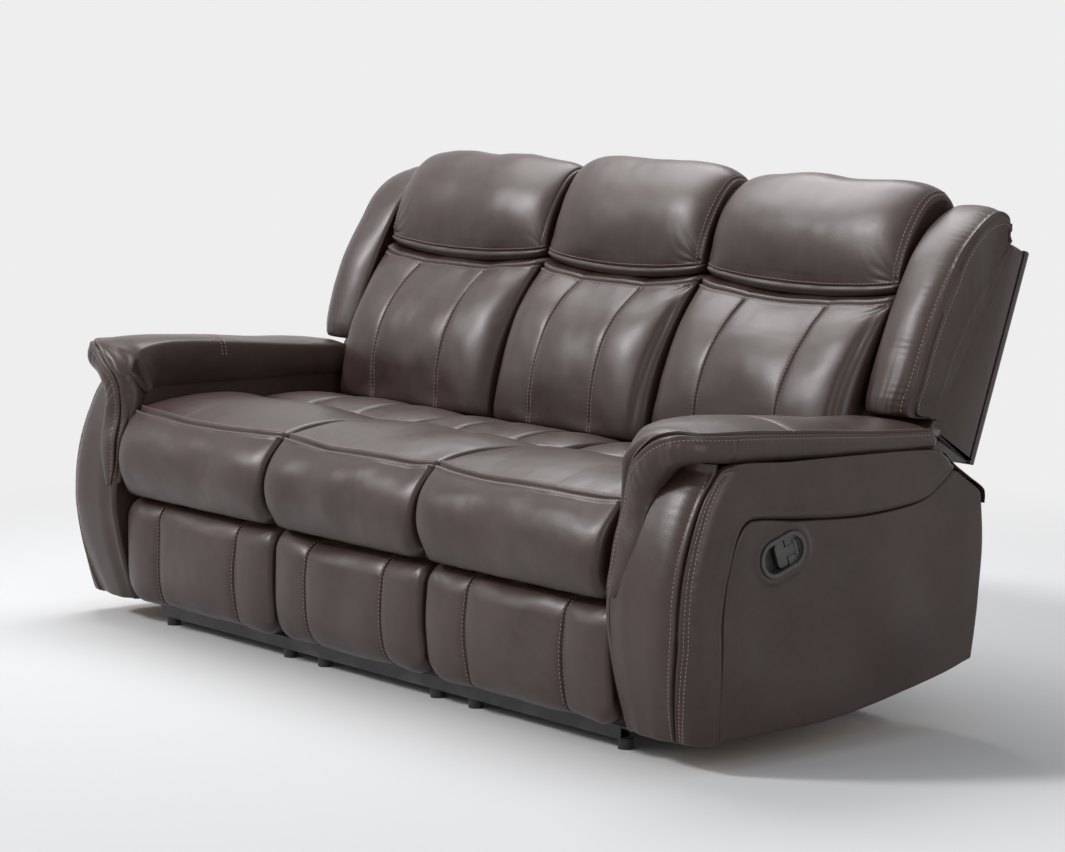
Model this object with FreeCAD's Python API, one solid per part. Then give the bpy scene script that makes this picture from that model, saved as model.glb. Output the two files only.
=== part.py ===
import FreeCAD, Part
import math
import os
from collections import namedtuple

# Three-seat reclining sofa in millimetres. +X is the right end seen from the front, the front
# looks along -Y and +Z is up. Both outer seats recline, glide and lift a footrest; the middle
# seat is fixed. Heights in this file start at the top of the base rails: the finished pieces
# are lifted by the rails and the feet, and centred on the depth, when they are written out.

# Overall widths
SOFA_WIDTH = 2060.0
ARM_WIDTH = 206.0
MIDDLE_SEAT_WIDTH = 509.0
UNIT_GAP = 3.0
ARM_GAP = 6.0
DEPTH_CENTRE_Y = 8.0

# Base
FOOT_HEIGHT = 22.0
FOOT_DIAMETER = 30.0
RAIL_SIZE = 25.0
RAIL_WALL = 2.5
BASE_FRONT_Y = -372.0
BASE_REAR_Y = 236.0
FOOT_SETBACK = 24.0
MIDDLE_RAIL_SETBACK = 63.5
OUTER_RAIL_SETBACK = 56.5
ARM_BRACKET_LENGTH = 50.0
ARM_BRACKET_HEIGHT = 84.0
ARM_BRACKET_SETBACK = 12.0

# Steel linkage
PLATE = 4.0
LANE_GAP = 0.6
PIN_RADIUS = 4.0
HOLE_CLEARANCE = 0.08
OPEN_PIVOT_CLEARANCE = 0.8
PIN_HEAD_RADIUS = 7.0
PIN_HEAD = 2.4
LINK_RADIUS = 13.0
SWING_LENGTH = 95.0
SWING_TILT = 21.6
SWING_FOOT_Z = 38.0
REAR_SWING_Y = 100.0
FRONT_SWING_Y = -170.0
BACK_PIVOT = (190.0, 223.0)
FOOTREST_PIVOT = (-295.0, 220.0)
LOWER_LINK_LENGTH = 184.0
LOWER_LINK_ANGLE = 16.0
FOOTREST_HINGE = (-313.0, 189.0)
TORQUE_TUBE_RADIUS = 10.0
TORQUE_TUBE_DROP = 40.0

# Seat frames and springs
SEAT_FRAME_BOTTOM = 235.0
SEAT_FRAME_HEIGHT = 36.0
SEAT_FRAME_FRONT_Y = -385.0
SEAT_FRAME_REAR_Y = 150.0
SEAT_FRAME_MEMBER = 40.0
SEAT_FRAME_INSET = 12.0
STRETCHER_WIDTH = 30.0
SPRING_WIRE = 4.0
SPRING_COUNT = 4
SPRING_WIDTH = 52.0
SPRING_TURNS = 9

# Footrest boards
BOARD_THICKNESS = 15.0
BOARD_FRONT_Y = -345.0
BOARD_BOTTOM = 26.0
BOARD_HEIGHT = 196.0
BOARD_INSET = 14.0

# Backs
BACK_TILT = 19.2
BACK_FOOT_Y = 195.9
BACK_TOP = 883.0
SHELL_THICKNESS = 16.0
SHELL_BOTTOM = 168.0
WING_BOX_BOTTOM = 463.0
BACK_FRAME_THICKNESS = 54.0
BACK_FRAME_BOTTOM = 232.0
BACK_FRAME_INSET = 2.0
BACK_RAIL_HEIGHT = 45.0
BACK_BRACKET_LENGTH = 78.0
LUMBAR_BOTTOM = 419.4
HEADREST_SEAM = 783.0
WING_OUTER_X = 950.0

# Upholstery
SOFT_GAP = 0.5
EDGE_ROLL = 24.0
SEAT_SEAM_OFFSET = 96.0
LUMBAR_SEAM_OFFSET = 116.0
FOOTREST_SEAM_OFFSET = 145.0

# Arms
ARM_SKIN = 20.0
ARM_INNER_SKIN = 14.0
ARM_FIELD_RECESS = 4.0
ARM_FRONT_PADDING = 34.0
ARM_REAR_BOARD_Y = 276.0
ARM_WEB = 20.0
ARM_FRAME_BORDER = 44.0
ARM_RIB = 18.0
ARM_RIB_COUNT = 3
TONGUE_THICKNESS = 8.0
PAD_OVERHANG = 4.0
PAD_BOTTOM = 489.0
PAD_TOP_FRONT = 576.0
PAD_TOP_REAR = 545.0

# Release latches in the outer faces of the arms
LATCH_CENTRE = (-208.0, 332.0)
LATCH_TILT = 18.6
LATCH_HALF_RUN = 21.0
LATCH_RADIUS = 30.0
LATCH_WALL = 3.5
LATCH_DEPTH = 24.0
LATCH_FLANGE = 4.0
LATCH_FLANGE_THICKNESS = 4.0
LATCH_POCKET_CLEARANCE = 0.4
LEVER_THICKNESS = 5.0
LEVER_HALF_WIDTH = 24.0
LEVER_FRONT = -13.0
LEVER_SHOULDER = 9.0
LEVER_CORNER = 9.0
LEVER_NECK_HALF_WIDTH = 9.0
LEVER_HINGE_AT = 35.0
LEVER_HUB_RADIUS = 5.5
LEVER_HUB_HALF_LENGTH = 14.0
LEVER_PLAY = 1.2
LATCH_LEDGE_AT = 12.0
LEVER_SETBACK = 3.0
LATCH_PIN_RADIUS = 2.0
LATCH_PIN_HALF_LENGTH = 24.5

# Sizes that follow
BASE_LIFT = FOOT_HEIGHT + RAIL_SIZE
HALF_WIDTH = SOFA_WIDTH / 2
ARM_INNER_X = HALF_WIDTH - ARM_WIDTH
MIDDLE_HALF = MIDDLE_SEAT_WIDTH / 2
OUTER_INNER_X = MIDDLE_HALF + UNIT_GAP
OUTER_OUTER_X = ARM_INNER_X - ARM_GAP
OUTER_CENTRE_X = (OUTER_INNER_X + OUTER_OUTER_X) / 2
MIDDLE_RAIL_OFFSET = MIDDLE_HALF - MIDDLE_RAIL_SETBACK
OUTER_RAIL_OFFSET = (OUTER_OUTER_X - OUTER_INNER_X) / 2 - OUTER_RAIL_SETBACK
LANE_PITCH = PLATE + LANE_GAP
SEAT_FRAME_TOP = SEAT_FRAME_BOTTOM + SEAT_FRAME_HEIGHT
BACK_FRAME_FRONT = SHELL_THICKNESS + BACK_FRAME_THICKNESS
ARM_FACE_X = HALF_WIDTH - PAD_OVERHANG
ARM_FRAME_OUTER_X = ARM_FACE_X - ARM_SKIN
ARM_FRAME_INNER_X = ARM_INNER_X + ARM_INNER_SKIN

# Side-by-side places of the linkage plates, counted inwards from the base rail
LUG_LANE = 0
SWING_LANE = 1
SEAT_LANE = 2
LOWER_LINK_LANE = 3
UPPER_LINK_LANE = 4
FOOTREST_LANE = 5

Vector = FreeCAD.Vector
Outline = namedtuple("Outline", "knots bulges")
Span = namedtuple("Span", "low high")


def side_view(x):
    """Place (y, z) pairs of a side outline at one x."""
    return lambda y, z: Vector(x, y, z)


def front_view(y):
    """Place (x, z) pairs of a front outline at one y."""
    return lambda x, z: Vector(x, y, z)


def ring(place, outline):
    """Close an outline with lines, or with arcs that swell outwards by their bulge."""
    edges = []
    knots = outline.knots
    for index, (a0, b0) in enumerate(knots):
        a1, b1 = knots[(index + 1) % len(knots)]
        bulge = outline.bulges[index]
        if bulge == 0:
            edges.append(Part.LineSegment(place(a0, b0), place(a1, b1)).toShape())
            continue
        run = math.hypot(a1 - a0, b1 - b0)
        middle = place((a0 + a1) / 2 - (b1 - b0) / run * bulge, (b0 + b1) / 2 + (a1 - a0) / run * bulge)
        edges.append(Part.Arc(place(a0, b0), middle, place(a1, b1)).toShape())
    return Part.Wire(edges)


def polygon(*knots):
    """An outline of straight edges."""
    return Outline(list(knots), [0] * len(knots))


def mix(first, second, share):
    """The outline that lies a share of the way from the first to the second."""
    knots = []
    for (a0, b0), (a1, b1) in zip(first.knots, second.knots):
        knots.append((a0 + (a1 - a0) * share, b0 + (b1 - b0) * share))
    bulges = [b0 + (b1 - b0) * share for b0, b1 in zip(first.bulges, second.bulges)]
    return Outline(knots, bulges)


def shifted(outline, along, up):
    """The same outline, moved."""
    return Outline([(a + along, b + up) for a, b in outline.knots], outline.bulges)


def side_prism(outline, low, high):
    """A side outline carried from one x to another."""
    return Part.Face(ring(side_view(low), outline)).extrude(Vector(high - low, 0, 0))


def front_prism(outline, low, high):
    """A front outline carried from one y to another."""
    return Part.Face(ring(front_view(low), outline)).extrude(Vector(0, high - low, 0))


def soft_loft(place, sections):
    """A cushion skinned through its cross sections."""
    return Part.makeLoft([ring(place(at), outline) for at, outline in sections], True, False)


def block(x, y, z):
    """A box between pairs of limits."""
    return Part.makeBox(x[1] - x[0], y[1] - y[0], z[1] - z[0], Vector(x[0], y[0], z[0]))


def fused(shapes):
    """One solid out of pieces that touch."""
    whole = shapes[0]
    for shape in shapes[1:]:
        whole = whole.fuse(shape)
    return whole.removeSplitter()


def rod(x, centre, radius):
    """A round rod along X between two limits, centred on a (y, z) point."""
    start = Vector(x[0], centre[0], centre[1])
    return Part.makeCylinder(radius, x[1] - x[0], start, Vector(1, 0, 0))


def bar(x, start, end, radius):
    """A flat bar with round ends between two (y, z) points."""
    dy = end[0] - start[0]
    dz = end[1] - start[1]
    run = math.hypot(dy, dz)
    side = (-dz / run * radius, dy / run * radius)
    middle = polygon(
        (start[0] + side[0], start[1] + side[1]),
        (end[0] + side[0], end[1] + side[1]),
        (end[0] - side[0], end[1] - side[1]),
        (start[0] - side[0], start[1] - side[1]),
    )
    return fused([side_prism(middle, *x), rod(x, start, radius), rod(x, end, radius)])


def mirrored(shape):
    """The same piece for the left-hand end."""
    return shape.mirror(Vector(0, 0, 0), Vector(1, 0, 0))


def polar(origin, length, degrees):
    """The (y, z) point at a length from another, with 0 degrees to the front and 90 up."""
    angle = math.radians(degrees)
    return (origin[0] - length * math.cos(angle), origin[1] + length * math.sin(angle))


def on_back(along, depth):
    """The (y, z) point so far up the rear face of a back and so deep in front of it."""
    tilt = math.radians(BACK_TILT)
    y = BACK_FOOT_Y + along * math.sin(tilt) - depth * math.cos(tilt)
    z = along * math.cos(tilt) + depth * math.sin(tilt)
    return (y, z)


def lane(centre, offset, side, index):
    """The x limits of a linkage plate on one side (-1 or 1) of a unit."""
    middle = centre + side * (offset - index * LANE_PITCH)
    return (middle - PLATE / 2, middle + PLATE / 2)


def pin(centre, offset, side, first_lane, last_lane, at):
    """A headed pin that stands on the plate in one lane and passes through the next."""
    step = 1 if last_lane > first_lane else -1
    stem = sorted([
        lane(centre, offset, side, first_lane)[0 if side * step > 0 else 1],
        lane(centre, offset, side, last_lane)[0 if side * step > 0 else 1] - side * step * LANE_GAP,
    ])
    tip = stem[0] if side * step > 0 else stem[1]
    head = sorted([tip, tip - side * step * PIN_HEAD])
    return rod(stem, at, PIN_RADIUS).fuse(rod(head, at, PIN_HEAD_RADIUS)).removeSplitter()


def joined_bar(x, start, end, holes):
    """A linkage bar with running holes at some of its ends."""
    link = bar(x, start, end, LINK_RADIUS)
    for at in holes:
        link = link.cut(rod(x, at, PIN_RADIUS + HOLE_CLEARANCE))
    return link


# Pivot points of the linkage, as (y, z)
REAR_SWING_FOOT = (REAR_SWING_Y, SWING_FOOT_Z)
FRONT_SWING_FOOT = (FRONT_SWING_Y, SWING_FOOT_Z)
REAR_SWING_HEAD = polar(REAR_SWING_FOOT, SWING_LENGTH, 90 + SWING_TILT)
FRONT_SWING_HEAD = polar(FRONT_SWING_FOOT, SWING_LENGTH, 90 + SWING_TILT)
LINK_KNEE = polar(FOOTREST_PIVOT, LOWER_LINK_LENGTH, -90 - LOWER_LINK_ANGLE)
TUBE_CENTRE = polar(FOOTREST_PIVOT, TORQUE_TUBE_DROP, -90 - LOWER_LINK_ANGLE)


def rail_places():
    """The x of every fore-and-aft base rail, with the offset sign inside its unit."""
    places = []
    for centre in (-OUTER_CENTRE_X, OUTER_CENTRE_X):
        places.append(centre - OUTER_RAIL_OFFSET)
        places.append(centre + OUTER_RAIL_OFFSET)
    places.append(-MIDDLE_RAIL_OFFSET)
    places.append(MIDDLE_RAIL_OFFSET)
    return places


def hollow_bar(x, y, z, along):
    """A square steel tube along X or Y."""
    wall = RAIL_WALL
    outside = block(x, y, z)
    if along == "x":
        inside = block(x, (y[0] + wall, y[1] - wall), (z[0] + wall, z[1] - wall))
    else:
        inside = block((x[0] + wall, x[1] - wall), y, (z[0] + wall, z[1] - wall))
    return outside.cut(inside)


def arm_bracket(y):
    """The foot and the upright, welded at right angles, that bolt the right arm to a cross rail."""
    reach = OUTER_CENTRE_X + OUTER_RAIL_OFFSET + RAIL_SIZE / 2
    corner = ARM_INNER_X - PLATE
    foot = block((reach - RAIL_SIZE, corner), y, (-PLATE, 0))
    upright = block((corner, ARM_INNER_X), y, (-PLATE, ARM_BRACKET_HEIGHT))
    return foot, upright


def base_frame():
    """Cross rails, fore-and-aft rails with their pivot lugs, and the arm brackets."""
    level = (-RAIL_SIZE, 0)
    reach = OUTER_CENTRE_X + OUTER_RAIL_OFFSET + RAIL_SIZE / 2
    front = (BASE_FRONT_Y, BASE_FRONT_Y + RAIL_SIZE)
    rear = (BASE_REAR_Y - RAIL_SIZE, BASE_REAR_Y)
    solids = []
    for y in (front, rear):
        rail = hollow_bar((-reach, reach), y, level, "x")
        middle = (y[0] + y[1]) / 2
        if y is front:
            bracket_y = (middle - ARM_BRACKET_SETBACK, middle - ARM_BRACKET_SETBACK + ARM_BRACKET_LENGTH)
        else:
            bracket_y = (middle + ARM_BRACKET_SETBACK - ARM_BRACKET_LENGTH, middle + ARM_BRACKET_SETBACK)
        foot, upright = arm_bracket(bracket_y)
        foot = foot.cut(block((-reach, reach), y, level))
        solids += [rail, foot, upright, mirrored(foot), mirrored(upright)]
    for x in rail_places():
        half = RAIL_SIZE / 2
        tube = hollow_bar((x - half, x + half), (front[1], rear[0]), level, "y")
        solids.append(tube)
    for centre in (-OUTER_CENTRE_X, OUTER_CENTRE_X):
        for side in (-1, 1):
            x = lane(centre, OUTER_RAIL_OFFSET, side, LUG_LANE)
            for foot in (REAR_SWING_FOOT, FRONT_SWING_FOOT):
                root = (foot[0], 0)
                lug = bar(x, root, foot, LINK_RADIUS)
                lug = lug.cut(block(x, (foot[0] - LINK_RADIUS, foot[0] + LINK_RADIUS), (-LINK_RADIUS, 0)))
                stud = pin(centre, OUTER_RAIL_OFFSET, side, LUG_LANE, SEAT_LANE, foot)
                solids.append(lug.fuse(stud).removeSplitter())
    return solids


def glide_feet():
    """A round black glide under both ends of every fore-and-aft rail."""
    feet = []
    for x in rail_places():
        for y in (BASE_FRONT_Y + FOOT_SETBACK, BASE_REAR_Y - FOOT_SETBACK):
            at = Vector(x, y, -BASE_LIFT)
            foot = Part.makeCylinder(FOOT_DIAMETER / 2, FOOT_HEIGHT, at)
            feet.append(foot.makeChamfer(FOOT_HEIGHT / 12, foot.Edges[:1]))
    return feet


def swing_links(centre, foot, head, head_clearance):
    """The pair of swing links at one end of the seat carriage."""
    links = []
    for side in (-1, 1):
        x = lane(centre, OUTER_RAIL_OFFSET, side, SWING_LANE)
        link = joined_bar(x, foot, head, [foot])
        links.append(link.cut(rod(x, head, PIN_RADIUS + head_clearance)))
    return links


def seat_plates(centre):
    """The steel side plates that carry a moving seat."""
    rear = SEAT_FRAME_REAR_Y
    low = REAR_SWING_HEAD[1] - LINK_RADIUS - 10
    outline = polygon(
        (FOOTREST_PIVOT[0] - 25, SEAT_FRAME_BOTTOM),
        (FOOTREST_PIVOT[0] - 25, FOOTREST_PIVOT[1] - 14),
        (FOOTREST_PIVOT[0] + 25, FOOTREST_PIVOT[1] - 26),
        (FRONT_SWING_HEAD[0] - 30, low + 8),
        (FRONT_SWING_HEAD[0] + 25, low),
        (REAR_SWING_HEAD[0] - 25, low),
        (REAR_SWING_HEAD[0] + 22, low + 8),
        (BACK_PIVOT[0] - 20, BACK_PIVOT[1] - 40),
        (BACK_PIVOT[0] + 22, BACK_PIVOT[1] - 18),
        (BACK_PIVOT[0] + 22, BACK_PIVOT[1] + 12),
        (rear, SEAT_FRAME_BOTTOM),
    )
    plates = []
    for side in (-1, 1):
        plates.append(side_prism(outline, *lane(centre, OUTER_RAIL_OFFSET, side, SEAT_LANE)))
    return plates


def pivot_rivets(centre):
    """Headed rivets of the seat plates: for the swings, the back and the footrest."""
    rivets = []
    for side in (-1, 1):
        for at in (REAR_SWING_HEAD, FRONT_SWING_HEAD, BACK_PIVOT):
            rivets.append(pin(centre, OUTER_RAIL_OFFSET, side, SEAT_LANE, LUG_LANE, at))
        rivets.append(pin(centre, OUTER_RAIL_OFFSET, side, SEAT_LANE, UPPER_LINK_LANE, FOOTREST_PIVOT))
    return rivets


def drilled(plates, rivets):
    """Plates with the rivets' own holes."""
    result = []
    for plate in plates:
        for rivet in rivets:
            plate = plate.cut(rivet)
        result.append(plate)
    return result


def lower_footrest_links(centre):
    """The two lower footrest links and the torque tube that ties them."""
    solids = []
    for side in (-1, 1):
        x = lane(centre, OUTER_RAIL_OFFSET, side, LOWER_LINK_LANE)
        link = joined_bar(x, FOOTREST_PIVOT, LINK_KNEE, [FOOTREST_PIVOT])
        knee = pin(centre, OUTER_RAIL_OFFSET, side, LOWER_LINK_LANE, FOOTREST_LANE, LINK_KNEE)
        solids.append(link.fuse(knee).removeSplitter())
    left = lane(centre, OUTER_RAIL_OFFSET, -1, LOWER_LINK_LANE)
    right = lane(centre, OUTER_RAIL_OFFSET, 1, LOWER_LINK_LANE)
    solids.append(rod((left[1], right[0]), TUBE_CENTRE, TORQUE_TUBE_RADIUS))
    return [fused(solids)]


def upper_footrest_links(centre):
    """The two upper footrest links, from the knee up to the footrest's hinge."""
    solids = []
    for side in (-1, 1):
        x = lane(centre, OUTER_RAIL_OFFSET, side, UPPER_LINK_LANE)
        link = joined_bar(x, LINK_KNEE, FOOTREST_HINGE, [LINK_KNEE])
        top = pin(centre, OUTER_RAIL_OFFSET, side, UPPER_LINK_LANE, FOOTREST_LANE + 1, FOOTREST_HINGE)
        solids.append(link.fuse(top).removeSplitter())
    return solids


def footrest_board(span):
    """The plywood board behind a front panel."""
    return block(
        (span.low + BOARD_INSET, span.high - BOARD_INSET),
        (BOARD_FRONT_Y, BOARD_FRONT_Y + BOARD_THICKNESS),
        (BOARD_BOTTOM, BOARD_BOTTOM + BOARD_HEIGHT),
    )


def hinged_footrest_board(span):
    """A footrest board with the two ears that its hinge pins turn in."""
    centre = (span.low + span.high) / 2
    solids = [footrest_board(span)]
    back = BOARD_FRONT_Y + BOARD_THICKNESS
    for side in (-1, 1):
        x = lane(centre, OUTER_RAIL_OFFSET, side, FOOTREST_LANE)
        ear = joined_bar(x, FOOTREST_HINGE, (back - LINK_RADIUS, FOOTREST_HINGE[1]), [FOOTREST_HINGE])
        ear = ear.cut(block(x, (BOARD_FRONT_Y - 2 * LINK_RADIUS, back), (0, SEAT_FRAME_BOTTOM)))
        solids.append(ear)
    return [fused(solids)]


def footrest_pad(span):
    """The padded front panel: three sewn channels with rounded lower corners."""
    rear = BOARD_FRONT_Y - SOFT_GAP
    edge = Outline(
        [(rear, 14), (-392, 13), (-424, 36), (-430, 190), (-400, 236), (rear, 231)],
        [0, 9, 3, 10, 0, 0],
    )
    crown = Outline(
        [(rear, 12), (-398, 9), (-431, 34), (-436, 184), (-404, 236), (rear, 230)],
        [0, 10, 8, 12, 0, 0],
    )
    return soft_loft(side_view, channel_stations(span, FOOTREST_SEAM_OFFSET, edge, crown))


def channel_stations(span, seam, edge, crown):
    """Sections of a cushion with two sewn seams, drawn in at the seams and the ends."""
    centre = (span.low + span.high) / 2
    shares = [
        (span.low, 0.0),
        (span.low + EDGE_ROLL, 0.6),
        ((span.low + EDGE_ROLL + centre - seam) / 2, 0.9),
        (centre - seam, 0.72),
        (centre, 1.0),
        (centre + seam, 0.72),
        ((span.high - EDGE_ROLL + centre + seam) / 2, 0.9),
        (span.high - EDGE_ROLL, 0.6),
        (span.high, 0.0),
    ]
    return [(x, mix(edge, crown, share)) for x, share in shares]


def seat_frame(span, rail_offset, rear_y):
    """A ladder of timber: side rails over the linkage plates, stretchers between."""
    centre = (span.low + span.high) / 2
    z = (SEAT_FRAME_BOTTOM, SEAT_FRAME_TOP)
    x = (span.low + SEAT_FRAME_INSET, span.high - SEAT_FRAME_INSET)
    member = SEAT_FRAME_MEMBER
    front = (SEAT_FRAME_FRONT_Y, SEAT_FRAME_FRONT_Y + member)
    rear = (SEAT_FRAME_REAR_Y - member, SEAT_FRAME_REAR_Y)
    inner = rail_offset - member / 2
    solids = [block(x, front, z), block(x, rear, z)]
    for side in (-1, 1):
        middle = centre + side * rail_offset
        solids.append(block((middle - member / 2, middle + member / 2), (front[0], rear_y), z))
        at = centre + side * inner / 3
        solids.append(block((at - STRETCHER_WIDTH / 2, at + STRETCHER_WIDTH / 2), (front[0], rear[1]), z))
    return fused(solids)


def seat_springs(span, rail_offset):
    """Sinuous springs from the front to the rear member, each a flat wave of wire."""
    centre = (span.low + span.high) / 2
    z = (SEAT_FRAME_TOP, SEAT_FRAME_TOP + SPRING_WIRE)
    first = SEAT_FRAME_FRONT_Y + SPRING_WIRE
    last = SEAT_FRAME_REAR_Y - SPRING_WIRE
    step = (last - first - SPRING_WIRE) / SPRING_TURNS
    field = 2 * (rail_offset - SEAT_FRAME_MEMBER / 2)
    springs = []
    for number in range(SPRING_COUNT):
        middle = centre + (number + 0.5 - SPRING_COUNT / 2) * field / SPRING_COUNT
        x = (middle - SPRING_WIDTH / 2, middle + SPRING_WIDTH / 2)
        wires = []
        for turn in range(SPRING_TURNS + 1):
            y = first + turn * step
            wires.append(block(x, (y, y + SPRING_WIRE), z))
            if turn < SPRING_TURNS:
                at = x[turn % 2]
                edge = (at, at + SPRING_WIRE) if turn % 2 == 0 else (at - SPRING_WIRE, at)
                wires.append(block(edge, (y, y + step + SPRING_WIRE), z))
        springs.append(fused(wires))
    return springs


def seat_cushion(span):
    """A seat: rolled nose, front pillow and a rear row of three sewn pillows."""
    base = SEAT_FRAME_TOP + SPRING_WIRE + SOFT_GAP
    lip = SEAT_FRAME_FRONT_Y - 3
    rear = SEAT_FRAME_REAR_Y
    edge = Outline(
        [(lip, 245), (-438, 245), (-402, 428), (-88, 422), (140, 408), (rear, base), (lip, base)],
        [0, 32, 12, 6, 3, 0, 0],
    )
    crown = Outline(
        [(lip, 245), (-441, 240), (-408, 425), (-98, 427), (128, 411), (rear, base), (lip, base)],
        [0, 44, 24, 18, 5, 0, 0],
    )
    seam = Outline(crown.knots, [0, 43, 22, 6, 5, 0, 0])
    centre = (span.low + span.high) / 2
    side_pillow = (span.low + centre - SEAT_SEAM_OFFSET) / 2
    sections = [
        (span.low, edge),
        (span.low + EDGE_ROLL, mix(edge, crown, 0.6)),
        (side_pillow, mix(edge, crown, 0.95)),
        (centre - SEAT_SEAM_OFFSET, seam),
        (centre, crown),
        (centre + SEAT_SEAM_OFFSET, seam),
        (2 * centre - side_pillow, mix(edge, crown, 0.95)),
        (span.high - EDGE_ROLL, mix(edge, crown, 0.6)),
        (span.high, edge),
    ]
    return soft_loft(side_view, sections)


def back_slab(x, along, depth):
    """A block lying in the tilted back."""
    outline = polygon(
        on_back(along[0], depth[0]),
        on_back(along[0], depth[1]),
        on_back(along[1], depth[1]),
        on_back(along[1], depth[0]),
    )
    return side_prism(outline, *x)


def back_frame(span, rail_offset):
    """Timber back: two stiles, two slats and three cross rails."""
    centre = (span.low + span.high) / 2
    depth = (SHELL_THICKNESS, BACK_FRAME_FRONT)
    inner = rail_offset - LANE_PITCH + PLATE / 2
    outer = (span.high - span.low) / 2 - BACK_FRAME_INSET
    first = BACK_FRAME_BOTTOM + BACK_BRACKET_LENGTH
    last = BACK_TOP - BACK_RAIL_HEIGHT
    solids = []
    for along in (first, (first + last) / 2, last):
        x = (centre - inner, centre + inner)
        solids.append(back_slab(x, (along, along + BACK_RAIL_HEIGHT), depth))
    for side in (-1, 1):
        stile = sorted([centre + side * inner, centre + side * outer])
        solids.append(back_slab(stile, (BACK_FRAME_BOTTOM, BACK_TOP), depth))
        at = centre + side * inner / 3
        slat = (at - STRETCHER_WIDTH / 2, at + STRETCHER_WIDTH / 2)
        solids.append(back_slab(slat, (first, BACK_TOP), depth))
    return fused(solids)


def back_brackets(centre):
    """Steel straps that hang a moving back on the seat plates."""
    straps = []
    top = on_back(BACK_FRAME_BOTTOM + BACK_BRACKET_LENGTH - LINK_RADIUS - 8, BACK_FRAME_FRONT / 2)
    for side in (-1, 1):
        x = lane(centre, OUTER_RAIL_OFFSET, side, SWING_LANE)
        straps.append(joined_bar(x, BACK_PIVOT, top, [BACK_PIVOT]))
    return straps


def back_panel(span):
    """The outer back panel behind a frame."""
    return back_slab(span, (SHELL_BOTTOM, BACK_TOP), (0, SHELL_THICKNESS))


WING_BOX = polygon(on_back(WING_BOX_BOTTOM, 0), (226, 511), (433, 856), on_back(BACK_TOP, 0))


def winged_back_shell(span):
    """The outer back of an end seat: it widens over the arm in a padded box."""
    box = side_prism(WING_BOX, span.high + SOFT_GAP, WING_OUTER_X)
    wide = back_slab((span.high, WING_OUTER_X), (WING_BOX_BOTTOM, BACK_TOP), (0, SHELL_THICKNESS))
    return fused([back_panel(span), wide, box])


def lumbar_cushion(span):
    """The lower back cushion, crowned between two upright sewn seams."""
    low = on_back(LUMBAR_BOTTOM, BACK_FRAME_FRONT + SOFT_GAP)
    high = on_back(HEADREST_SEAM - SOFT_GAP, BACK_FRAME_FRONT + SOFT_GAP)
    edge = Outline([low, (137, 420), (267, 760), high], [0, 10, 0, 0])
    crown = Outline([low, (100, 424), (259, 750), high], [0, 46, 0, 0])
    return soft_loft(side_view, channel_stations(span, LUMBAR_SEAM_OFFSET, edge, crown))


def headrest(span):
    """The upper back cushion, rolled over the top of the frame."""
    depth = BACK_FRAME_FRONT + SOFT_GAP
    low = on_back(HEADREST_SEAM + SOFT_GAP, depth)
    top = on_back(BACK_TOP + SOFT_GAP, depth)
    rear = on_back(BACK_TOP + SOFT_GAP, depth - 14)
    edge = Outline([low, (268, 763), (350, 925), (412, 932), rear, top], [0, 8, 10, 3, 0, 0])
    crown = Outline([low, (259, 753), (332, 955), (415, 972), rear, top], [0, 30, 16, 8, 0, 0])
    shares = [
        (span.low, 0.0),
        (span.low + EDGE_ROLL, 0.62),
        (span.low + 4 * EDGE_ROLL, 0.93),
        ((span.low + span.high) / 2, 1.0),
        (span.high - 4 * EDGE_ROLL, 0.93),
        (span.high - EDGE_ROLL, 0.62),
        (span.high, 0.0),
    ]
    return soft_loft(side_view, [(x, mix(edge, crown, share)) for x, share in shares])


def wing(span):
    """The padded wing beside the head, on the outer edge of an end seat."""
    box_low, box_top = WING_BOX.knots[1:3]
    share = (555 - box_low[1]) / (box_top[1] - box_low[1])
    low_rear = (box_low[0] + (box_top[0] - box_low[0]) * share - SOFT_GAP, 555)
    top_rear = (box_top[0] - SOFT_GAP, box_top[1] + SOFT_GAP)
    bulges = [0, 12, 20, 4, 0, 0]
    inner = Outline(
        [low_rear, (190, 555), (288, 817), (402, 916), (446, 900), top_rear],
        [0, 6, 14, 4, 0, 0],
    )
    crown = Outline([low_rear, (152, 555), (270, 812), (420, 924), (452, 906), top_rear], bulges)
    outer = Outline([low_rear, (168, 555), (286, 806), (422, 908), (448, 896), top_rear], bulges)
    first = span.high + SOFT_GAP
    width = WING_OUTER_X - first
    sections = [
        (first, inner),
        (first + 0.22 * width, mix(inner, crown, 0.7)),
        (first + 0.6 * width, crown),
        (first + 0.88 * width, mix(crown, outer, 0.5)),
        (WING_OUTER_X, outer),
    ]
    return soft_loft(side_view, sections)


# Side outline of an arm below its pad, clockwise from the rear foot
ARM_OUTLINE = Outline(
    [(277, 86), (-167, 12), (-404, 3), (-458, 208), (-400, 448), (-370, 488), (190, 483), (218, 457),
     (298, 405), (291, 160)],
    [15, 0, 6, 17, 0, 0, 0, 0, 6, 0],
)

# The sewn field low on the outer face, open below and behind
ARM_FIELD = Outline(
    [(340, -30), (-352, -30), (-319, 374), (-291, 404), (-28, 385), (149, 403), (225, 455), (340, 455)],
    [0, 0, 8, -4, -6, -3, 0, 0],
)

# The front drop of the pad, as (x from the inner face, z)
TONGUE = Outline(
    [(202, 505), (202, 500), (106, 455), (69, 398), (32, 321), (6, 250), (0, 250), (0, 505)],
    [0, 3, 1, 0, 0, 4, 0, 0],
)


def latch_placed(shape):
    """Turn and move a latch piece from its own axes to its place on the right arm."""
    shape.rotate(Vector(0, 0, 0), Vector(1, 0, 0), LATCH_TILT)
    shape.translate(Vector(ARM_FACE_X - ARM_FIELD_RECESS, LATCH_CENTRE[0], LATCH_CENTRE[1]))
    return shape


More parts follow.
